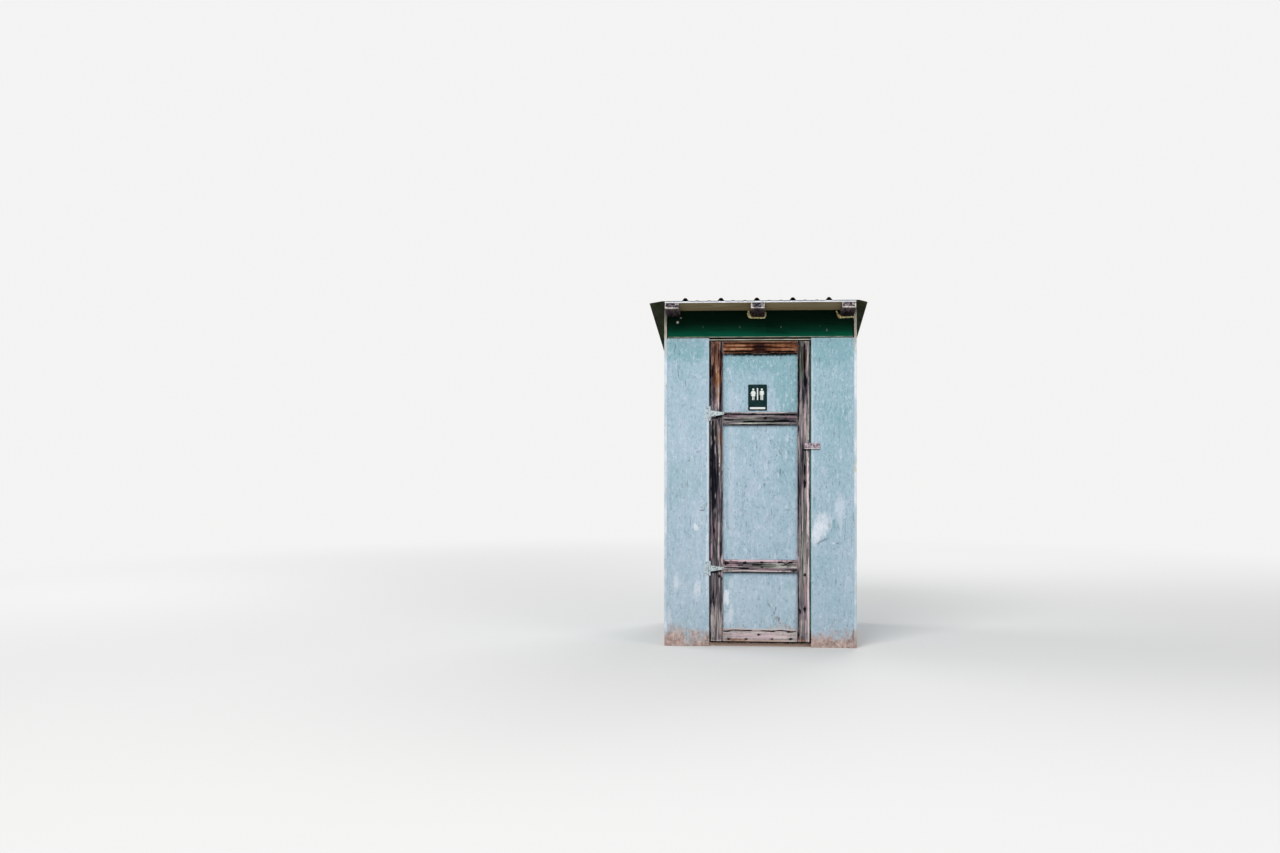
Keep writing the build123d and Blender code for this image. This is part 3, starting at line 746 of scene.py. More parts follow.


# Wear, painted shade and highlights that the photograph shows, as spots for marks() and paths for cracks()

WEAR = {
    "front_panel_left": {
        "pale": [
            (696, 528, 3, 4, 0.9), (676.5, 582, 3.5, 8, 0.5), (697, 588, 4, 9, 0.45),
            (669, 617, 2.5, 8, 0.4), (701, 520, 6, 14, 0.2), (707, 560, 1.5, 40, 0.6),
            (707.6, 470, 1.1, 62, 0.6), (688, 470, 24, 60, 0.1), (688, 585, 24, 55, 0.16),
        ],
        # The first two spots, along the top of the sheet, are painted shade under the eave; the rest are teal
        # in the paint.
        "teal_and_shade": [
            (686, 350, 24, 14, 0.8), (686, 366, 34, 28, 0.22), (685, 480, 20, 26, 0.25),
            (671, 470, 2, 60, 0.2),
        ],
        "bare": [
            (702.5, 510.5, 2.4, 0.5, 0.8), (701.5, 507.5, 2.2, 0.4, 0.6), (706.5, 504.5, 2.6, 0.8, 0.5, 75),
            (698, 451.5, 2, 1.2, 0.35), (677, 471, 1, 1.2, 0.35), (686, 486, 1, 4, 0.2),
            (684, 498, 1.6, 1.4, 0.3),
        ],
    },
    "front_panel_right": {
        "pale": [
            (823, 521, 9, 9, 0.6), (819, 531, 8, 9, 0.75), (815, 538, 4, 8, 0.6), (840, 505, 5, 12, 0.4),
            (839, 520, 4, 8, 0.2), (833.5, 543.2, 1.8, 0.6, 0.8), (812.6, 430, 0.8, 90, 0.4),
        ],
        # The first two spots, along the top of the sheet, are painted shade under the eave; the rest are teal
        # in the paint.
        "teal_and_shade": [
            (834, 346, 34, 20, 0.8), (834, 380, 34, 42, 0.55), (838, 455, 24, 50, 0.4),
            (835, 524, 2.6, 6, 0.7), (814.5, 505, 1.4, 9, 0.6), (826, 570, 14, 20, 0.3),
        ],
        "bare": [
            (823, 540.5, 7.5, 1.0, 0.55, 28), (837.5, 543.2, 1.8, 0.6, 0.6), (838, 526, 0.9, 3, 0.4),
            (852.7, 518, 1, 2, 0.35), (829.5, 525.5, 1.4, 2.2, 0.3), (854, 636, 2.6, 6, 1.0),
            (851, 641, 4, 2.5, 0.9), (855.4, 628, 0.9, 5, 0.7),
        ],
        # Painted shadow under the hasp.
        "grime_and_shadow": [(815, 449.8, 4.6, 0.7, 0.6)],
    },
    "door_panel": {
        "pale": [
            (726.2, 597, 3.2, 8.5, 1.3), (731, 614, 2.4, 12, 0.5), (731, 585, 2.5, 8, 0.3),
            (742, 591.3, 2.4, 0.6, 0.5), (731, 470, 4, 90, 0.2), (727, 620, 3, 6, 0.35),
            (760, 602, 44, 26, 0.14),
        ],
        # The spots along the top, at rows 357 and 362, are painted shade under the eave; the rest are teal in
        # the paint.
        "teal_and_shade": [
            (760, 357, 44, 15, 0.7), (760, 362, 44, 34, 0.45), (790, 380, 17, 40, 0.75),
            (790, 445, 16, 64, 0.42), (726.5, 582, 3, 26, 0.5), (788, 586, 5, 8, 0.4),
            (735.5, 615, 1.5, 8, 0.4), (762, 357, 36, 4, 0.6), (726.5, 440, 3, 90, 0.3),
        ],
        "bare": [
            (775.7, 609.5, 0.7, 2.4, 0.7), (774.3, 613.2, 0.9, 2.4, 0.6), (772.5, 616, 1.5, 0.9, 0.5),
            (776.5, 618, 1.8, 1.6, 0.5), (779, 620, 0.9, 2.6, 0.75), (780, 623.3, 1.3, 0.6, 0.6),
            (769, 605.5, 3.2, 0.9, 0.5, -55), (780, 452.5, 3.8, 0.5, 0.8, -50),
            (782, 450.5, 2.4, 0.4, 0.4, -50), (741, 449.5, 2.4, 0.6, 0.35, -35), (787.5, 510, 3, 1.2, 0.3),
            (786.5, 601.5, 1.2, 1.7, 0.35), (743.3, 626, 0.7, 1.4, 0.6), (768, 584, 0.8, 2, 0.3),
        ],
        # Painted shadows under the top, upper and lower rails.
        "grime_and_shadow": [(760, 354, 42, 1.5, 1.2), (760, 424.8, 42, 0.8, 1.0), (760, 572.8, 42, 0.8, 1.0)],
    },
    "door_stile_left": {
        "tone": [
            (710.3, 375, 1.1, 38, -1.1), (712.2, 360, 1.7, 6, 0.6), (716, 349.5, 0.7, 6, -0.5),
            (718.3, 386, 0.7, 20, 0.7), (716.7, 372, 0.5, 9, 0.5), (712, 622, 2.6, 20, 0.6),
            (717.6, 622, 3.2, 17, -0.25), (722.4, 622, 1, 20, 0.3), (721, 352, 1, 13, -0.8),
            (712.4, 372, 0.7, 6, -0.8), (720.7, 370.5, 0.8, 5, -0.8), (717.8, 385, 2.4, 18, 0.4),
            (714, 396, 0.6, 9, -0.8), (720.4, 398.5, 0.8, 8.5, -1.0), (717.5, 403, 2, 7, 0.4),
            # (716.5, 417.4) here and (716.5, 571.3) further down are painted shadows under the hinge straps.
            (711.5, 404, 1.5, 7, -0.2), (716.5, 417.4, 8, 0.9, -1.6, 14), (712.2, 430, 1.8, 11, -0.6),
            (715.6, 430, 1.3, 11, -0.8), (719.2, 447, 0.8, 24, 1.2), (713.4, 480, 2.8, 46, -1.0),
            (712, 470, 2, 34, -0.2), (716, 470, 7, 48, -0.25), (717.8, 458, 1, 20, -0.3),
            (718, 502, 1.5, 34, 0.15), (722, 505, 0.7, 42, -0.8), (712, 528, 3, 12, 0.15),
            (713.8, 531, 1.1, 3, -0.8), (718.7, 528, 1.2, 14, 0.6), (710.8, 551, 1.3, 10, 0.5),
            (713.9, 551, 1.2, 10, -0.6), (718, 552, 1.5, 9, 0.35), (720.9, 552, 0.7, 10, -0.8),
            (722.6, 560, 1.3, 6, 0.7), (716.5, 571.3, 8, 0.9, -1.6, 14), (721.5, 574, 1.6, 2.5, 0.4),
            (713.3, 599, 0.6, 8, -0.7), (716, 588, 6, 16, -0.1), (716, 623, 6.5, 18, 0.5),
            (714, 626, 0.5, 16, -0.4), (716, 640.6, 7, 0.5, 0.6), (716, 372, 9, 36, -0.42),
            (714.6, 368, 0.5, 22, -0.7), (718.4, 352, 0.5, 10, -0.6),
        ],
        "warm": [
            (716, 362, 8, 32, 0.75), (717.5, 392, 5, 18, 0.5), (716, 432, 6, 14, 0.3),
            (719.2, 447, 0.9, 24, 0.3), (721.3, 445, 1.2, 22, 0.6), (721.5, 633, 2, 8, 0.35),
            (716, 631, 6, 10, 0.15), (714, 480, 4, 45, -0.4),
        ],
        "tint": [
            (717, 404, 3, 8, 0.5), (711, 551, 2, 12, 0.6), (714, 528, 5, 12, 0.5),
            (722.5, 561, 1.5, 5, 1.0), (712, 430, 2, 12, -0.6), (721.5, 574, 2, 3, 0.6),
        ],
        "hole": [(719.5, 576.5, 1.9, 1.2, 1.0, -35), (721.9, 579, 1.2, 0.9, 1.0, -20)],
    },
    "door_stile_right": {
        "tone": [
            (798.6, 392, 0.8, 52, -1.0), (796.8, 349, 1.4, 8, -0.5), (804.8, 358, 1.1, 17, -1.2),
            (807.4, 360, 0.8, 18, 0.5), (805.2, 381, 2.1, 5.5, -1.1), (808.3, 412, 0.6, 27, 0.9),
            (805, 420, 0.6, 22, 0.35), (806, 392, 0.7, 8, -0.7), (801.5, 415, 2, 25, 0.1),
            # (807, 450.1) is a painted shadow under the hasp.
            (807, 450.1, 4.2, 0.8, -1.1), (798.2, 490, 0.8, 50, -0.75), (801, 495, 2.6, 55, -0.2),
            (804.9, 470, 1, 6, -0.7), (804.8, 484, 1.4, 4, -1.1), (805, 508, 0.7, 8, -0.4),
            (808, 495, 1, 48, 1.1), (808.4, 592, 0.7, 50, 1.0), (798.6, 608, 0.6, 33, -0.7),
            (804.8, 575, 0.7, 2.2, -0.9), (800, 612, 1.2, 3, -0.7), (804.8, 609, 0.8, 3.5, -0.7),
            (797.8, 562, 1.4, 9, 0.5), (803, 628, 4, 14, 0.3), (797.6, 635, 1.3, 3, -1.0),
            (802, 640.6, 7, 0.5, 0.4), (802, 372, 8, 34, -0.35),
        ],
        "warm": [
            (797.5, 350, 2.5, 9, 0.9), (804.8, 360, 1.2, 18, 1.0), (801.3, 360, 2, 20, 0.3),
            (804.6, 585, 0.8, 9, 0.5), (803, 640.5, 7, 1.5, 0.8), (797, 635, 3, 4, 0.4),
        ],
        "tint": [
            (808, 495, 1.2, 50, 0.9), (808.4, 592, 0.9, 50, 0.8), (805, 420, 0.8, 22, 1.0),
            (804.9, 595, 0.8, 48, 1.1), (797.5, 560, 1.5, 10, 1.0), (805, 470, 1.2, 14, -1.2),
            (801.3, 362, 2.4, 26, -1.1), (803, 560, 3, 30, -0.5), (804, 515, 2, 20, -0.5),
            (800.5, 500, 2, 40, 0.3),
        ],
    },
    "door_rail_top": {
        "tone": [
            # Painted light: row 341.7 is a highlight on the top edge, row 343.1 shade below it, and row 353.4
            # shade along the bottom edge.
            (760, 341.7, 37, 0.45, 0.8), (760, 343.1, 37, 0.65, -1.1), (738, 345.7, 15, 1.0, 0.75),
            (738, 347.3, 14, 0.35, -0.6), (738, 349.1, 15, 1.0, 0.9), (738, 351.3, 16, 0.8, -1.4),
            (781, 345.5, 13, 1.4, 0.4), (781, 347.5, 13, 0.35, -0.4), (781, 349.4, 13, 1.0, 0.45),
            (781, 351.4, 16, 0.8, -1.3), (759.5, 347.5, 7, 5, -0.45), (760, 353.4, 40, 1.0, -1.0),
        ],
        # The warm and tint spots at rows 353.8 and 353.6 carry the same painted shade along the bottom edge.
        "warm": [(738, 347.5, 16, 5, 0.4), (781, 347.5, 15, 5, 0.3), (760, 353.8, 40, 0.9, -0.5)],
        "tint": [(760, 353.6, 40, 1.2, -1.0)],
        "cracks": [[(724, 351.7), (745, 351.4), (752, 352)], [(768, 351.9), (778, 351.6), (795, 352)]],
    },
    "door_rail_upper": {
        "tone": [
            (760, 412.6, 37, 0.5, 0.7), (726, 414.1, 3.2, 0.7, -1.0), (752.5, 414, 4, 1, -1.1),
            (740, 414.2, 8, 0.5, -0.7), (786, 414.4, 11, 0.9, -1.2), (768, 414.3, 7, 0.5, -0.9),
            (745, 417, 12, 1.3, 0.2), (765.3, 418, 1.6, 1.3, -1.1), (760, 419.5, 36, 0.5, 0.1),
            (729, 419.8, 6, 0.6, -0.9), (750, 421.6, 7, 0.9, -1.1), (782, 421, 14, 0.9, -1.2),
            # Painted light: row 423.1 is a highlight on the bottom edge and row 424.4 shade below it.
            (766, 421.3, 5, 0.6, -0.8), (760, 423.1, 37, 0.5, 0.7), (760, 424.4, 37, 0.5, -0.9),
            (760, 414.5, 40, 0.6, -0.8), (770, 421.6, 28, 0.7, -0.5),
        ],
        "tint": [
            (752.5, 414, 5, 1, 0.6), (790, 417.5, 6, 2, 0.8), (733, 416, 9, 1.5, 0.6),
            # (760, 423.1) tints the same painted highlight.
            (760, 423.1, 36, 0.6, -0.8), (762, 420, 30, 2.4, -0.5),
        ],
        "cracks": [
            [(749, 414), (756, 414.4)], [(775, 414.1), (786, 414.6), (795, 414.6)],
            [(746, 421.5), (755, 421.9)], [(770, 421.4), (786, 421.2), (795, 420.9)],
        ],
    },
    "door_rail_lower": {
        "tone": [
            (760, 560.7, 37, 1.1, 1.0), (726.3, 563, 2, 2, -1.1), (726.9, 563, 0.8, 0.8, 0.6),
            (745, 562.6, 1.1, 1.4, -1.3), (761.5, 562.2, 1.5, 0.8, -1.4), (780.5, 562.3, 2.4, 0.7, -1.4),
            (790.7, 562.6, 1.4, 0.9, -1.4), (729, 567.6, 6, 0.8, -0.9), (744, 568.6, 5, 0.9, -1.2),
            (740, 565, 4, 1.5, -0.4), (757, 564.6, 6, 1.2, -0.6), (762, 567.2, 1.8, 0.7, -1.3),
            (779, 564.5, 4, 0.5, 0.6), (779, 566, 4, 0.5, 0.5), (784, 565.3, 6, 0.5, -0.9),
            (788, 567, 3, 1, -0.5), (770, 569.3, 20, 0.8, 0.2), (757, 571, 34, 0.55, 1.1),
            (793.8, 571.3, 2, 0.6, -1.5), (760, 566, 38, 2.6, -0.2),
        ],
        "tint": [
            (760, 560.7, 37, 1.3, 1.1), (770, 569.3, 22, 1, 0.8), (733, 564, 8, 3, 0.8),
            (757, 571, 34, 0.8, 0.3), (772, 565.5, 22, 2, -0.7),
        ],
        "cracks": [[(724, 567.6), (735, 567.8), (748, 569)], [(782, 562.6), (786, 564), (791, 562.8)]],
    },
    "door_rail_bottom": {
        "tone": [
            (760, 629.1, 37, 0.6, 0.5), (760, 636, 38, 4.3, 0.3), (727, 631.2, 4, 0.6, -0.9),
            (739, 630.2, 6, 0.5, -0.8), (748, 630.4, 4, 0.4, -0.8), (766, 630.9, 6, 0.4, -0.7),
            (773, 631.5, 2, 0.7, -1.1), (781, 630.7, 5, 0.4, -0.6), (790, 632, 3.4, 0.9, -1.2),
            (758.5, 634.8, 0.7, 1.1, -0.6), (728.5, 639, 1.2, 0.8, -0.9), (746, 639, 1, 0.7, -0.6),
            (772, 639, 1.2, 0.8, -0.8), (790.5, 639, 1, 0.7, -0.5), (760, 640.6, 37, 0.4, 0.6),
        ],
        "warm": [
            (760, 640.4, 37, 0.7, 0.8), (735, 629, 12, 0.8, 0.5), (735, 640, 14, 1.4, 0.6),
            (738, 635, 20, 3, -0.4), (788, 634, 8, 3, -0.4),
        ],
        "tint": [(760, 636, 38, 4.5, 0.5)],
        "cracks": [
            [(722, 631), (727, 631.3), (733, 630.2), (744, 630.5), (752, 630.3)],
            [(762, 630.8), (772, 631.6), (780, 630.6), (786, 631.2), (791, 632.2), (796, 631.6)],
        ],
    },
}
DARK_NAILS = [
    (713.8, 531), (726.7, 563), (745, 562.6), (761.5, 562.2), (779, 562.3), (790.7, 562.6), (765.3, 418),
    (799.8, 611), (804.7, 609), (804.8, 575), (728.5, 639), (746, 639), (772, 639), (790.5, 639),
    (758.5, 634.8),
]
GREY_NAILS = [
    (713.5, 347), (719, 352), (713.2, 421), (718.8, 418.6), (719, 561), (713.3, 600), (718.5, 634),
    (799, 346), (806, 350), (804.8, 419), (800, 416), (805, 563), (800, 568), (801, 637), (806, 634),
    (729, 347), (791, 348), (728, 414.6), (786, 415.2), (727, 567),
]


# Shapes of worn wood

def sheet_relief(seed, sag, plugs=(), wear=None):
    """Rough plywood: slow buckles, raised grain, oval patches, and the wear placed on it, with painted shade
    in the deepest hollows and round the patches.
    """

    def relief(points):
        swell = noise(points, (2.1, 2.1, 1.3), seed) * sag
        drift = noise(points, (9, 9, 2), seed + 1)[:, None] * 6 * MM
        ridge = noise(points + drift, (150, 150, 3.5), seed + 2)
        deep = noise(points, (70, 70, 2.2), seed + 3)
        depth = swell + 0.3 * MM * ridge + 0.9 * MM * np.clip(deep - 0.72, 0, 1)
        # Painted shade: the deepest hollows, and below the rims of the patches, are marked to be coloured
        # darker.
        groove_shade = np.clip((deep - 0.88) * 5, 0, 0.4)
        for axis, across, up, wide, high in plugs:
            edge = np.hypot((points[:, axis] - across) / wide, (points[:, 2] - up) / high)
            ring = np.clip(1 - np.abs(edge - 1) / 0.14, 0, 1)
            depth = depth + 0.5 * MM * ring
            groove_shade = np.maximum(groove_shade, 0.3 * ring)
        shaped = {kind: marks(points, spots, seed) for kind, spots in (wear or {}).items()}
        if "bare" in shaped:
            depth = depth + 0.6 * MM * np.clip(shaped["bare"], 0, 1)
        return shaped | {"depth": depth, "groove_shade": groove_shade}

    return relief


def board_relief(axis, seed, checks, wear=None):
    """A weathered board: fine raised grain, washed-out hollows and open cracks, marked for painted shade in
    their depths.

    Each check is (place across, start along, end along, half width, depth),
    measured in the board's own box, with across taken on the wider face.
    """
    along = "xyz".index(axis)
    across = 0 if axis != "x" else 2
    wear = wear or {}
    stains = [(column, row, 1.3, 1.1, -0.22) for column, row in GREY_NAILS]
    stains += [(column, row + 2.6, 0.6, 2.4, -0.2) for column, row in GREY_NAILS]
    stains += [(column, row, 1.6, 1.1, -0.95) for column, row in DARK_NAILS]

    def relief(points):
        scale = np.array([0.012 if k == along else 1.0 for k in range(3)])
        bent = points + noise(points, scale * 60 + 0.5, seed)[:, None] * 5 * MM
        fine = noise(bent, scale * 420, seed + 1)
        broad = noise(bent, scale * 95, seed + 2)
        hollow = noise(points, scale * 30 + 4, seed + 3) ** 3
        depth = MM * (0.35 * fine + 0.55 * broad + 0.7 * hollow)
        groove_shade = np.clip(broad * 0.9 - 0.55, 0, 0.5)
        drift = (noise(points, scale * 220, seed + 4) - 0.5) * 5 * MM
        for place, start, end, half, deep in checks:
            within = eased(points[:, along], start, start + 0.04) * eased(points[:, along], end, end - 0.04)
            cut = np.clip(1 - np.abs(points[:, across] - place - drift) / half, 0, 1) * within
            depth, groove_shade = np.maximum(depth, cut * deep), np.maximum(groove_shade, cut)
        # Cracks and holes are marked to be coloured dark, as painted shade.
        cut = cracks(points, wear.get("cracks", ()), 4.2 * MM, seed + 5)
        hole = marks(points, wear.get("hole", ()), seed + 6, 0.9)
        for opening, deep, dark in ((cut, 5 * MM, 1.6), (hole, 12 * MM, 1.3)):
            depth = np.maximum(depth, opening * deep)
            groove_shade = np.maximum(groove_shade, np.clip(opening * dark, 0, 1))
        tone = marks(points, [*wear.get("tone", ()), *stains], seed + 7)
        shaped = {kind: marks(points, wear.get(kind, ()), seed + 8) for kind in ("warm", "tint")}
        return shaped | {"depth": depth, "groove_shade": groove_shade, "tone": tone}

    return relief


PLUG_COUNT = 7


def some_plugs(seed, axis, low, high):
    """Oval repair patches, scattered over a sheet between two corners."""
    random = np.random.default_rng(seed)
    return [(axis, random.uniform(low[axis] + 0.08, high[axis] - 0.08), random.uniform(0.15, high[2] * 0.9),
             random.uniform(14, 20) * MM, random.uniform(38, 55) * MM) for _ in range(PLUG_COUNT)]


# Walls

# Grid steps across and up: fine on what the photograph shows, coarse elsewhere
FRONT_STEP = (3 * MM, 7 * MM)
DOOR_STEP = (3.5 * MM, 7 * MM)
GREEN_STEP = (4 * MM, 4 * MM)
OTHER_STEP = (6 * MM, 16 * MM)
FOAM_LIP = 7 * MM
GREEN_SPOTS = [(677.7, 322.4, 1.3, 1.3, 1.0), (681, 318, 1.1, 1.0, 0.35)]
GREEN_SCRATCHES = [
    (703, 327, 0.4, 1.1, 0.12), (740, 327, 0.4, 1.2, 0.12), (764, 328, 0.4, 1.0, 0.1),
    (781, 327, 0.6, 1.0, 0.16), (820, 326, 0.4, 1.0, 0.1), (827, 330, 0.5, 1.5, 0.16),
]


def build_sheets():
    """Front, side and back sheets, and the green board under the eave."""
    inside = bare_plywood("raw plywood", "z", (190, 170, 136), (168, 144, 110), 9 * MM, 2.4, 0.5)
    edge = sheet_edge("sheet edges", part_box("front_panel_left")[1].z + 4 * MM)
    looks = (blue_paint("blue walls"), edge, inside)
    for side, seed in zip(SIDES, (11, 23)):
        node = f"front_panel_{side}"
        relief = sheet_relief(seed, 1.0 * MM, wear=WEAR[node])
        front_slab(f"front_sheet_{side}", node, relief, FRONT_STEP, looks)

    for turned, side in enumerate(SIDES):
        node = f"side_wall_{side}"
        low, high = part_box(node)
        width = high.y - low.y
        origin = (high.x, low.y, low.z) if turned else (low.x, high.y, low.z)
        tops = (high.z, high.z - width * ROOF_FALL)
        start, end = tops if turned else reversed(tops)
        relief = sheet_relief(31 + turned, 2.0 * MM, some_plugs(33 + turned, 1, low, high))
        slab(f"side_sheet_{side}", node, origin, (0, 1 if turned else -1, 0), (width, high.z), high.x - low.x,
             relief, OTHER_STEP, looks, top=lambda along: start + (end - start) * along / width)

    low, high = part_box("back_wall")
    rafters = [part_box(node) for node in RAFTERS]
    notches = [(start.x - 2 * MM, end.x + 2 * MM, high.z - 42 * MM) for start, end in rafters]
    relief = sheet_relief(47, 2.0 * MM, some_plugs(48, 0, low, high))
    slab("back_sheet", "back_wall", (high.x, high.y, low.z), (-1, 0, 0), (high.x - low.x, high.z - low.z),
         high.y - low.y, relief, OTHER_STEP, looks, cuts=notches)
    build_header_board(inside)


def build_header_board(inside):
    """The green board, cut round the rafters and their foam, with worn spots and a pale lower edge."""
    low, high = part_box("header_board")
    left, middle, right = [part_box(node) for node in ("rafter_left", "foam_seal_middle", "foam_seal_right")]
    cuts = [(left[0].x - 0.1, left[1].x + 2 * MM, high.z - 43 * MM),
            (middle[0].x + FOAM_LIP, middle[1].x - FOAM_LIP, middle[0].z + FOAM_LIP),
            (right[0].x + FOAM_LIP, high.x + 0.1, right[0].z + FOAM_LIP)]

    def relief(points):
        depth = noise(points, (3, 3, 2), 61) * 0.8 * MM + noise(points, (8, 8, 260), 62) * 0.2 * MM
        pale = marks(points, GREEN_SPOTS, 63, 0.3) + marks(points, GREEN_SCRATCHES, 64)
        return {"depth": depth, "groove_shade": np.zeros(len(points)), "pale": pale}

    looks = (green_paint("green board", low.z), green_rim("green board edge", low.z), inside)
    front_slab("green_header_board", "header_board", relief, GREEN_STEP, looks, cuts=cuts,
               radius=1.6 * MM, slot="green_board")


# Door

# Where each board's grain is taken from, its brightness, warmth and contrast
BOARD_WOOD = {
    "stile_left": ((1, 2, 3), 0.47, -0.1, 1.0),
    "stile_right": ((4, 7, 1), 0.48, -0.15, 0.9),
    "rail_top": ((2, 9, 4), 0.40, 0.75, 0.7),
    "rail_upper": ((7, 3, 8), 0.42, -0.15, 0.9),
    "rail_lower": ((5, 5, 2), 0.48, -0.1, 1.1),
    "rail_bottom": ((8, 1, 6), 0.74, -0.15, 0.35),
}


def build_door():
    """Door panel, stiles and rails, each weathered in its own way."""
    blue = blue_paint("blue door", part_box("door_panel")[0].z - 0.06)
    looks = (blue, bpy.data.materials["sheet edges"], bpy.data.materials["raw plywood"])
    relief = sheet_relief(71, 0.8 * MM, wear=WEAR["door_panel"])
    front_slab("door_sheet", "door_panel", relief, DOOR_STEP, looks, body="door")
    for seed, (part, recipe) in enumerate(BOARD_WOOD.items()):
        node = f"door_{part}"
        low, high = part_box(node)
        upright = "stile" in part
        axis = "z" if upright else "x"
        steps = (2 * MM, 3 * MM, 8 * MM) if upright else (8 * MM, 3 * MM, 2 * MM)
        random = np.random.default_rng(100 + seed)
        checks = []
        for _ in range(9 if upright else 1):
            start = random.uniform(low.z, high.z) if upright else random.uniform(low.x, high.x)
            place = random.uniform(low.x + 12 * MM, high.x - 12 * MM) if upright else (low.z + high.z) / 2
            checks.append((place, start, start + random.uniform(0.1, 0.36), random.uniform(1.5, 2.4) * MM,
                           random.uniform(1.5, 3.5) * MM))
        beam(f"weathered_{part}", node, low, high, steps, board_relief(axis, 81 + seed, checks, WEAR[node]),
             weathered(node.replace("_", " "), axis, *recipe), "door", "weathered_boards", 4 * MM)


# Roof

def build_rafters():
    """Rafters laid flat, weathered at their tails, with pale rims round the end grain and undersides painted
    darker towards the wall as shade.
    """
    wood = weathered("rafter wood", "y", (3, 3, 3), 0.5, 0.25, 0.7, pith=(0.01, -0.06))
    for seed, node in enumerate(RAFTERS):
        low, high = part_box(node)
        middle = (low.x + high.x) / 2
        grain = board_relief("y", 121 + seed, [(middle + 13 * MM, -0.05, 0.16, 2.2 * MM, 3.5 * MM),
                                               (middle - 22 * MM, -0.05, 0.09, 2.0 * MM, 3 * MM)])

        def relief(points):
            wear = grain(points)
            x, y, z = points.T
            lift = z + RAFTER_THICK
            tail, face = np.clip(1 - y / (9 * MM), 0, 1), np.clip(1 - y / (1.5 * MM), 0, 1)
            below, above = np.clip(1 - lift / (7 * MM), 0, 1), np.clip(1 - lift / (11 * MM), 0, 1)
            beside = np.clip(1.1 - np.minimum(x - low.x, high.x - x) / (8 * MM), 0, 1)
            rim = tail * np.maximum(eased(above, 0, 0.6), beside * 0.8)
            broken = noise(points, (110, 110, 110), 140 + seed)
            # The last term is painted shade: the underside grows darker towards the wall.
            wear["tone"] = (2.6 * rim * broken + face * (1 - rim) * (1.2 * broken - 0.85)
                            + below * (1 - tail) * (0.1 - 0.7 * np.clip(y / 0.15, 0, 1)))
            wear["warm"] = -0.4 * tail + 0.1 * below * (1 - tail)
            wear["tint"] = -0.1 * face
            return wear

        beam(node.replace("_", "_beam_"), node, (low.x, 0, -RAFTER_THICK), (high.x, roof_length, 0),
             (2.4 * MM, 14 * MM, 2.4 * MM), relief, wood, "building", "raw_lumber", 4.5 * MM, roof_turn)


LUMP_STEP = 3.5 * MM
FILLING_RADIUS = 9 * MM
FILLING_DEPTH = 14 * MM
SKIN_VOXEL = 1.6 * MM
# Centre lines of the foam on the photograph: (column, row, half thickness), in pixels
FOAM_PATHS = {
    "middle": [
        (748.9, 311.2, 1.3), (748.6, 313.6, 1.75), (749.4, 316.3, 1.85), (750.9, 317.6, 1.1),
        (754, 317.8, 0.78), (760, 317.9, 0.75), (764.3, 317.8, 0.85), (765.5, 316.3, 0.65),
        (765.9, 312.5, 0.55),
    ],
    "right": [
        (836.6, 311.2, 0.85), (837.8, 314, 1.15), (839.4, 316.8, 1.85), (841.7, 317.3, 1.1),
        (845, 317.3, 0.75), (850, 317.1, 0.72), (854.4, 316.9, 0.62),
    ],
}


def build_foam():
    """Lumps of foam squeezed out round two rafters, melted into one skin, and the filling behind them."""
    skin = foam_skin("foam skin")
    for seed, (side, path) in enumerate(FOAM_PATHS.items()):
        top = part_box(f"foam_seal_{side}")[1].z
        random = np.random.default_rng(200 + seed)
        mesh = bpy.data.meshes.new(f"foam_lumps_{side}")
        with reshaping(mesh) as shape:
            for start, end in zip(path, path[1:]):
                (x0, z0), (x1, z1) = on_front(*start[:2]), on_front(*end[:2])
                count = max(2, round(math.hypot(x1 - x0, z1 - z0) / LUMP_STEP))
                for step in range(count + 1):
                    share = step / count
                    radius = (start[2] + (end[2] - start[2]) * share) * PIXEL * random.uniform(0.7, 0.96)
                    x, y, z = (x0 + (x1 - x0) * share + random.normal(0, 0.8) * MM,
                               front - random.uniform(1, 5) * MM,
                               z0 + (z1 - z0) * share + random.normal(0, 0.8) * MM)
                    for fineness, size, depth in ((3, radius, y), (2, FILLING_RADIUS, front + FILLING_DEPTH)):
                        bmesh.ops.create_icosphere(shape, subdivisions=fineness, radius=size,
                                                   matrix=Matrix.Translation((x, depth, z)))
        mesh = melted(mesh, SKIN_VOXEL)
        points = np.array([vert.co for vert in mesh.vertices])
        push = (noise(points, (160, 160, 160), 210 + seed) - 0.5) * 2.0 * MM
        for vert, amount in zip(mesh.vertices, push):
            vert.co += vert.normal * float(amount)
            vert.co.z = min(vert.co.z, top)
        for polygon in mesh.polygons:
            polygon.use_smooth = True
        add_object(f"foam_lump_{side}", mesh, "building", skin, replaces=f"foam_seal_{side}", slot="foam")


def melted(mesh, voxel):
    """One closed skin round overlapping lumps."""
    holder = linked("melting", mesh)
    remesh = holder.modifiers.new("melt", "REMESH")
    remesh.mode = "VOXEL"
    remesh.voxel_size = voxel
    holder.modifiers.new("smooth", "SMOOTH").iterations = 4
    result = bpy.data.meshes.new_from_object(holder.evaluated_get(bpy.context.evaluated_depsgraph_get()))
    bpy.data.objects.remove(holder)
    return result


# Fasteners

# From the rim that is sunk in the wood to the middle: share of the radius, share of the height
HEAD_PROFILE = [(1.0, -0.6), (1.0, 0.15), (0.86, 0.62), (0.5, 0.92), (0.0, 1.0)]
NAIL_SINK = 0.9 * MM
NAIL_SPREAD = 4 * MM
ROW_SPREAD = 12 * MM
# The roof's screws: their rows up the slope, their distance from a rib, and the middle rib's from the middle
SCREW_ROWS = (0.035, 0.42, 0.83, 1.24, roof_length - 0.035)
SCREW_ASIDE = 34 * MM
RIB_ASIDE = 20 * MM
# Screws of a hinge in mm: across from the plate's edge or the pin, and up from the middle
PLATE_SCREWS = ((11, -33), (20, 0), (11, 33))
STRAP_SCREWS = ((22, 5), (50, 0), (84, 0))


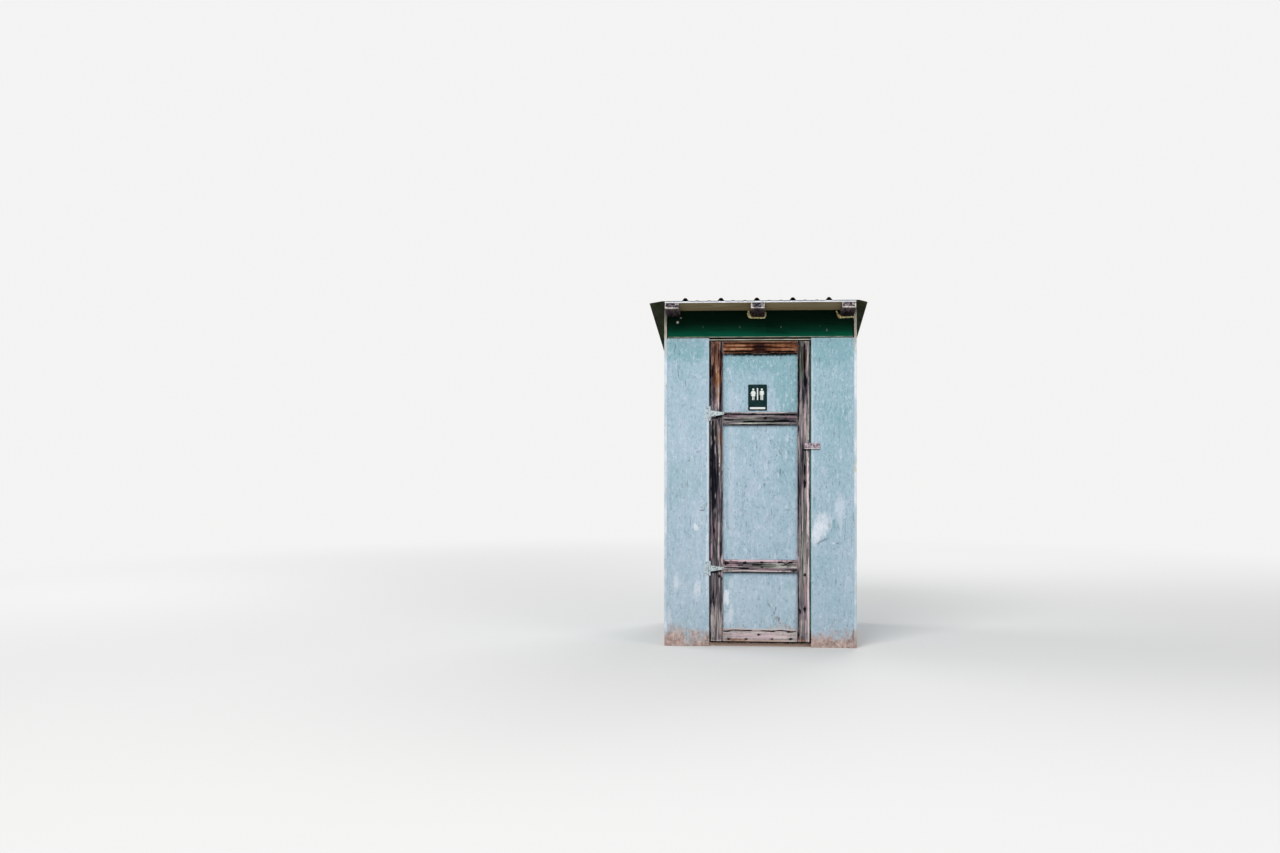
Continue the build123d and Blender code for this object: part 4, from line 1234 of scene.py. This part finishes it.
def heads(name, body, places, radius, material, outward=(0, -1, 0), height=1.0 * MM, cross=False, sides=14):
    """Round nail or screw heads in one mesh, each set square to its face."""
    random = np.random.default_rng(len(places))
    turn = Vector(outward).to_track_quat("Z", "Y").to_matrix()
    points, faces = [], []
    for place in places:
        index = len(points) + np.arange(len(HEAD_PROFILE) * sides).reshape(-1, sides)
        spin = random.uniform(0, math.pi)
        size = radius * random.uniform(0.92, 1.08)
        for share, level in HEAD_PROFILE:
            for step in range(sides):
                angle = spin + 2 * math.pi * step / sides
                if cross and share < 0.7 and step % (sides // 4) == 0:
                    lift = (level - 0.7) * height
                else:
                    lift = level * height
                flat = Vector((math.cos(angle) * share * size, math.sin(angle) * share * size, lift))
                points.append(Vector(place) + turn @ flat)
        faces += grid_faces(np.hstack([index, index[:, :1]]).T).tolist()
        faces.append(index[0, ::-1].tolist())
    mesh = new_mesh(name, points, faces)
    with reshaping(mesh) as shape:
        bmesh.ops.remove_doubles(shape, verts=shape.verts, dist=0.02 * MM)
        bmesh.ops.recalc_face_normals(shape, faces=shape.faces)
    soften(mesh, 35)
    add_object(name, mesh, body, material)


def build_nails():
    """Nails of the sheets and boards, each a little off its line."""
    painted = coated_metal("painted nails", BLUE, (110, 100, 96), 0.6, 0.0, 0.5, 0.35)
    random = np.random.default_rng(300)

    def near(places, spread=NAIL_SPREAD):
        return [(across + random.uniform(-NAIL_SPREAD, NAIL_SPREAD), up + random.uniform(-spread, spread))
                for across, up in places]

    places = []
    for side in SIDES:
        low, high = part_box(f"front_panel_{side}")
        spots = near(product((low.x + 19 * MM, high.x - 19 * MM), np.arange(0.09, high.z, 0.21)), ROW_SPREAD)
        columns = np.linspace(low.x + 60 * MM, high.x - 60 * MM, 3)
        spots += near(product(columns, (high.z - 16 * MM, 45 * MM)))
        places += [(x, low.y + NAIL_SINK, z) for x, z in spots]
    heads("front_nails", "building", places, 3.2 * MM, painted)

    low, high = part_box("header_board")
    spots = near((x, low.z + 34 * MM) for x in np.linspace(low.x + 30 * MM, high.x - 30 * MM, 7))
    heads("header_nails", "building", [(x, low.y + 0.7 * MM, z) for x, z in spots], 3.0 * MM,
          bpy.data.materials["green board"])

    for side, outward in zip(SIDES, ((-1, 0, 0), (1, 0, 0))):
        low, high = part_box(f"side_wall_{side}")
        x = low.x + NAIL_SINK if side == "left" else high.x - NAIL_SINK
        columns = (low.y + 22 * MM, low.y + 60 * MM, high.y - 22 * MM, high.y - 60 * MM)
        spots = near(product(columns, np.arange(0.1, high.z - 0.25, 0.24)), ROW_SPREAD)
        spots += near((y, z) for y in np.arange(low.y + 0.2, high.y - 0.15, 0.2)
                      for z in (45 * MM, 1.0, high.z - (y - low.y) * ROOF_FALL - 36 * MM))
        heads(f"side_nails_{side}", "building", [(x, y, z) for y, z in spots], 3.4 * MM, painted, outward)

    low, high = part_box("back_wall")
    spots = near(product((low.x + 20 * MM, high.x - 20 * MM), np.arange(0.1, high.z - 0.1, 0.24)), ROW_SPREAD)
    spots += near(product(np.arange(low.x + 0.2, high.x - 0.15, 0.2), (45 * MM, 1.0, high.z - 78 * MM)))
    places = [(x, high.y - NAIL_SINK, z) for x, z in spots]
    heads("back_nails", "building", places, 3.4 * MM, painted, (0, 1, 0))

    rusty = rusted("rusty nails", (96, 66, 60), (52, 36, 36), (22, 15, 16))
    dull = rusted("weathered nails", (150, 132, 128), (110, 94, 92), (66, 54, 54))
    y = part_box("door_stile_left")[0].y + 1.3 * MM
    for name, nails, radius, rust in (("door_nails_rusty", DARK_NAILS, 4.2 * MM, rusty),
                                      ("door_nails_dull", GREY_NAILS, 3.6 * MM, dull)):
        places = [(x, y, z) for x, z in (on_front(*nail) for nail in nails)]
        heads(name, "door", places, radius, rust)


def build_roof_screws():
    """Hex-head roofing screws with washers, in rows beside the ribs."""
    zinc = coated_metal("roof screws", (150, 152, 150), (96, 90, 84), 0.5, 0.4, 0.5, 0.7)
    normal = roof_turn.to_3x3() @ Vector((0, 0, 1))
    columns = [eye.x - RIB_ASIDE + step * RIB_SPACING - SCREW_ASIDE for step in range(-2, 3)]
    places = [roof_turn @ Vector((x, y, DECK_THICK + 1.7 * MM)) for x, y in product(columns, SCREW_ROWS)]
    heads("roof_washers", "building", places, 7.5 * MM, zinc, normal, 1.6 * MM)
    raised = [place + normal * 1.5 * MM for place in places]
    heads("roof_screw_heads", "building", raised, 4.6 * MM, zinc, normal, 4.2 * MM, sides=6)


def build_hardware_screws():
    """Screws of the hinges, the hasp and the staple plate."""
    def screws(name, body, places, radius, material):
        heads(name, body, places, radius, material, cross=True, sides=16)

    zinc = coated_metal("zinc screws", (150, 152, 150), (98, 80, 70), 0.45, 0.3, 0.7, 0.7)
    painted = coated_metal("painted screws", (150, 166, 176), (98, 84, 76), 0.6, 0.0, 0.6, 0.5)
    rust = bpy.data.materials["rusty hasp"]
    wall, door = [], []
    for level in ("upper", "lower"):
        low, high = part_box(f"hinge_plate_{level}")
        middle = (low.z + high.z) / 2
        y, pin = high.y - 2.2 * MM, high.x - 5.5 * MM
        wall += [(low.x + across * MM, y, middle + up * MM) for across, up in PLATE_SCREWS]
        door += [(pin + across * MM, y, middle + up * MM) for across, up in STRAP_SCREWS]
    screws("hinge_screws_wall", "building", wall, 4.2 * MM, painted)
    screws("hinge_screws_door", "door", door, 4.2 * MM, zinc)
    low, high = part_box("hasp_leaf")
    x, y, middle = low.x + 9 * MM, high.y - 2 * MM, (low.z + high.z) / 2
    screws("hasp_screws", "door", [(x, y, middle + up) for up in (-12 * MM, 12 * MM)], 3.2 * MM, rust)
    low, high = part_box("hasp_staple")
    corners = [(x, y, middle + up) for x in (low.x + 6 * MM, high.x - 6 * MM) for up in (-13 * MM, 13 * MM)]
    screws("staple_screws", "building", corners, 2.8 * MM, rust)


# Sign

# The right halves of the two figures, and the bars (left, right, bottom, top), in mm
HALF_DRESS = [(5, 24), (11, 21), (17, 4), (13, 2), (9, 12), (14, -10), (7, -10), (7, -36), (1.5, -36),
              (1.5, -10)]
HALF_SUIT = [(8, 24), (13, 20), (13, -3), (9, -3), (9, 12), (8, 12), (8, -36), (1.5, -36), (1.5, -6)]
HEAD_RADIUS, HEAD_CORNERS = 6.8, 20
SIGN_BARS = [(-4, 4, -16, 62), (-50, 50, -76, -63)]


def build_sign():
    """Plain figures of a woman and a man, a bar between them and one below."""
    outlines = []
    for middle, half in ((-28, HALF_DRESS), (28, HALF_SUIT)):
        whole = half + [(-x, z) for x, z in reversed(half)]
        turns = [2 * math.pi * step / HEAD_CORNERS for step in range(HEAD_CORNERS)]
        outlines.append([(x * 1.03 + middle, z + 20) for x, z in whole])
        outlines.append([(middle + HEAD_RADIUS * math.cos(turn), 53 + HEAD_RADIUS * math.sin(turn))
                         for turn in turns])
    for left, right, bottom, top in SIGN_BARS:
        outlines.append([(left, bottom), (right, bottom), (right, top), (left, top)])

    low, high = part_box("restroom_sign")
    centre = Vector(((low.x + high.x) / 2, low.y, (low.z + high.z) / 2))
    mesh = bpy.data.meshes.new("sign_figures")
    with reshaping(mesh) as shape:
        for outline in outlines:
            face = shape.faces.new([shape.verts.new(centre + Vector((x, 0, z)) * MM) for x, z in outline])
            made = bmesh.ops.extrude_face_region(shape, geom=[face])["geom"]
            moved = [part for part in made if isinstance(part, bmesh.types.BMVert)]
            bmesh.ops.translate(shape, verts=moved, vec=(0, -0.5 * MM, 0))
        bmesh.ops.recalc_face_normals(shape, faces=shape.faces)
    add_object("sign_figures", mesh, "door", plastic("sign white", (226, 230, 228), 0.5))
    dress(plastic("sign plate", (5, 38, 38), 0.45), 0.4 * MM, "restroom_sign")


# CAD nodes that stay

HINGE_SPOTS = [(707, 413), (707.5, 408.5), (708, 418), (706.5, 563), (706.8, 568), (708.8, 571)]
STRAP_SPOTS = [(712.5, 414), (717, 413.4), (714.8, 415.4), (712.5, 565.5), (717.5, 566.5), (715, 567.6)]


def dress(material, round_off, *names):
    """Gives CAD nodes their finish, and a small rounding where they have hard edges."""
    for name in names:
        node = nodes[name]
        node.data.materials.clear()
        node.data.materials.append(material)
        if round_off:
            bevel = node.modifiers.new("eased edges", "BEVEL")
            bevel.width = round_off
            bevel.segments = 2
            bevel.limit_method = "ANGLE"
            bevel.angle_limit = math.radians(50)
            bevel.harden_normals = True


def dress_nodes():
    """Finishes for the frame, floor, roof metal, hinges and hasp."""
    uprights = [f"{place}_{side}" for place in ("front_post", "back_post", "door_stud") for side in SIDES]
    dress(lumber("lumber along x", "x"), 2.5 * MM, "back_plate", "back_girt", "front_sills", "back_sill")
    dress(lumber("lumber along y", "y"), 2.5 * MM, "side_girts", "floor_joists")
    dress(lumber("lumber along z", "z"), 2.5 * MM, *uprights)
    dress(header_shade_and_highlight("header wood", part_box("front_header")[0].z), 1.5 * MM, "front_header")
    # Dark shades: soil, and painted shade of the gap under the door.
    soiled_and_shaded = ((60, 48, 38), (96, 80, 62), (120, 102, 82))
    dress(lumber("soiled lumber", "x", soiled_and_shaded, 0.8), 3 * MM, "threshold")
    dress(bare_plywood("floor sheet", "y", (170, 142, 104), (130, 100, 70), 10 * MM, 2.0, 0.7), 0, "floor")
    dress(bare_plywood("deck sheet", "x", (186, 168, 130), (140, 118, 84), 10 * MM, 3.2, 0.3), 0, "roof_deck")
    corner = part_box("door_stop")[1]
    dress(stop_paint_and_shade("door stop", corner.x, corner.z), 1.5 * MM, "door_stop")
    dress(galvanised("galvanised sheet"), 0, "roof_sheet")
    dress(coated_metal("pale flashing", (232, 236, 244), (138, 138, 146), 0.5, 0.0, 0.6, 0.1,
                       (186, 188, 198)), 0, "eave_flashings")
    dress(coated_metal("painted hinge", (186, 204, 214), (84, 86, 88), 0.6, 0.0, 0.75, 0.2, (214, 220, 222),
                       HINGE_SPOTS), 0.4 * MM, "hinge_plate_upper", "hinge_plate_lower")
    dress(coated_metal("zinc strap", (198, 212, 216), (90, 92, 96), 0.6, 0.0, 0.7, 0.15, (176, 188, 192),
                       STRAP_SPOTS), 0.4 * MM, "hinge_strap_upper", "hinge_strap_lower")
    dress(rusted("rusty hasp", (214, 198, 204), (166, 150, 160), (84, 64, 72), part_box("hasp_strap")[0].z),
          0.3 * MM, "hasp_leaf", "hasp_strap", "hasp_staple")


# Stage

FLOOR_SIZE = 120
FLOOR_DROP = 0.3 * MM
FADE_START, FADE_END = 2.5, 9.0
FLOOR_COLOUR = (0.66, 0.66, 0.655, 1)
FLOOR_BOUNCE = (0.34, 0.34, 0.33, 1)
BACK_COLOUR = (0.90, 0.90, 0.895, 1)
SKY_COLOUR = (0.96, 0.985, 1.0, 1)
SKY_LIGHT = 0.42
# Place, aim, size, power and colour
LAMPS = {
    "key": ((-2.6, -7.4, 7.4), (0, -0.6, 1.0), 4.5, 620, (1.0, 0.985, 0.965)),
    "fill": ((5.5, -6.0, 4.0), (0, -0.4, 1.0), 4.0, 170, (0.96, 0.985, 1.0)),
    "back": ((2.5, 7.0, 5.5), (0, 0.3, 1.2), 4.5, 330, (1, 1, 1)),
    "left side": ((-7.5, 2.5, 4.5), (0, 0, 1.0), 4.0, 240, (1, 1, 1)),
}


def seen_directly(shader):
    """1 for rays that show the picture itself, a reflection or what is behind glass, else 0."""
    rays = shader.node("LightPath").outputs
    camera, glossy, through = [Signal(shader, rays[f"Is {kind} Ray"])
                               for kind in ("Camera", "Glossy", "Transmission")]
    return camera | glossy | through


def build_floor():
    """A pale floor that fades into the background."""
    bpy.ops.mesh.primitive_plane_add(size=FLOOR_SIZE)
    floor = bpy.context.object
    floor.name = "studio_floor"
    floor.location.z = -FLOOR_DROP
    material = bpy.data.materials.new("studio floor")
    shader = Shader(material)
    seen = seen_directly(shader)
    ground = shader.add("BsdfDiffuse", 0, {"Color": shader.mix(seen, FLOOR_BOUNCE, FLOOR_COLOUR)})
    glow = shader.add("Emission", 0, {"Color": BACK_COLOUR})
    away = shader.add("VectorMath", "Value", {0: shader.add("TexCoord", "Object")}, operation="LENGTH")
    surface = shader.add("MixShader", 0, {0: away.between(FADE_START, FADE_END) * seen, 1: ground, 2: glow})
    shader.node("OutputMaterial", {"Surface": surface})
    floor.data.materials.append(material)


def build_world():
    """Soft light from all round, behind a pale background."""
    world = bpy.data.worlds.new("studio")
    bpy.context.scene.world = world
    shader = Shader(world)
    shown = shader.add("Background", 0, {"Color": BACK_COLOUR})
    light = shader.add("Background", 0, {"Color": SKY_COLOUR, "Strength": SKY_LIGHT})
    surface = shader.add("MixShader", 0, {0: seen_directly(shader), 1: light, 2: shown})
    shader.node("OutputWorld", {"Surface": surface})


def build_lamps():
    for name, (place, target, size, power, colour) in LAMPS.items():
        data = bpy.data.lights.new(name, "AREA")
        data.shape, data.size, data.energy, data.color = "SQUARE", size, power, colour
        holder = linked(name, data)
        holder.location = place
        holder.rotation_euler = (Vector(target) - Vector(place)).to_track_quat("-Z", "Y").to_euler()


def build_camera():
    """The photograph's view: level, on the building's middle line, turned to the left."""
    data = bpy.data.cameras.new("photo camera")
    data.sensor_fit, data.sensor_width, data.lens = "HORIZONTAL", SENSOR, LENS
    camera = linked("photo camera", data)
    camera.location = eye
    camera.rotation_euler = (math.pi / 2, 0, YAW)
    bpy.context.scene.camera = camera
    bpy.context.scene.view_settings.view_transform = "Standard"


build_floor()
build_world()
build_lamps()
build_camera()
build_sheets()
build_door()
build_rafters()
build_foam()
dress_nodes()
build_nails()
build_roof_screws()
build_hardware_screws()
build_sign()
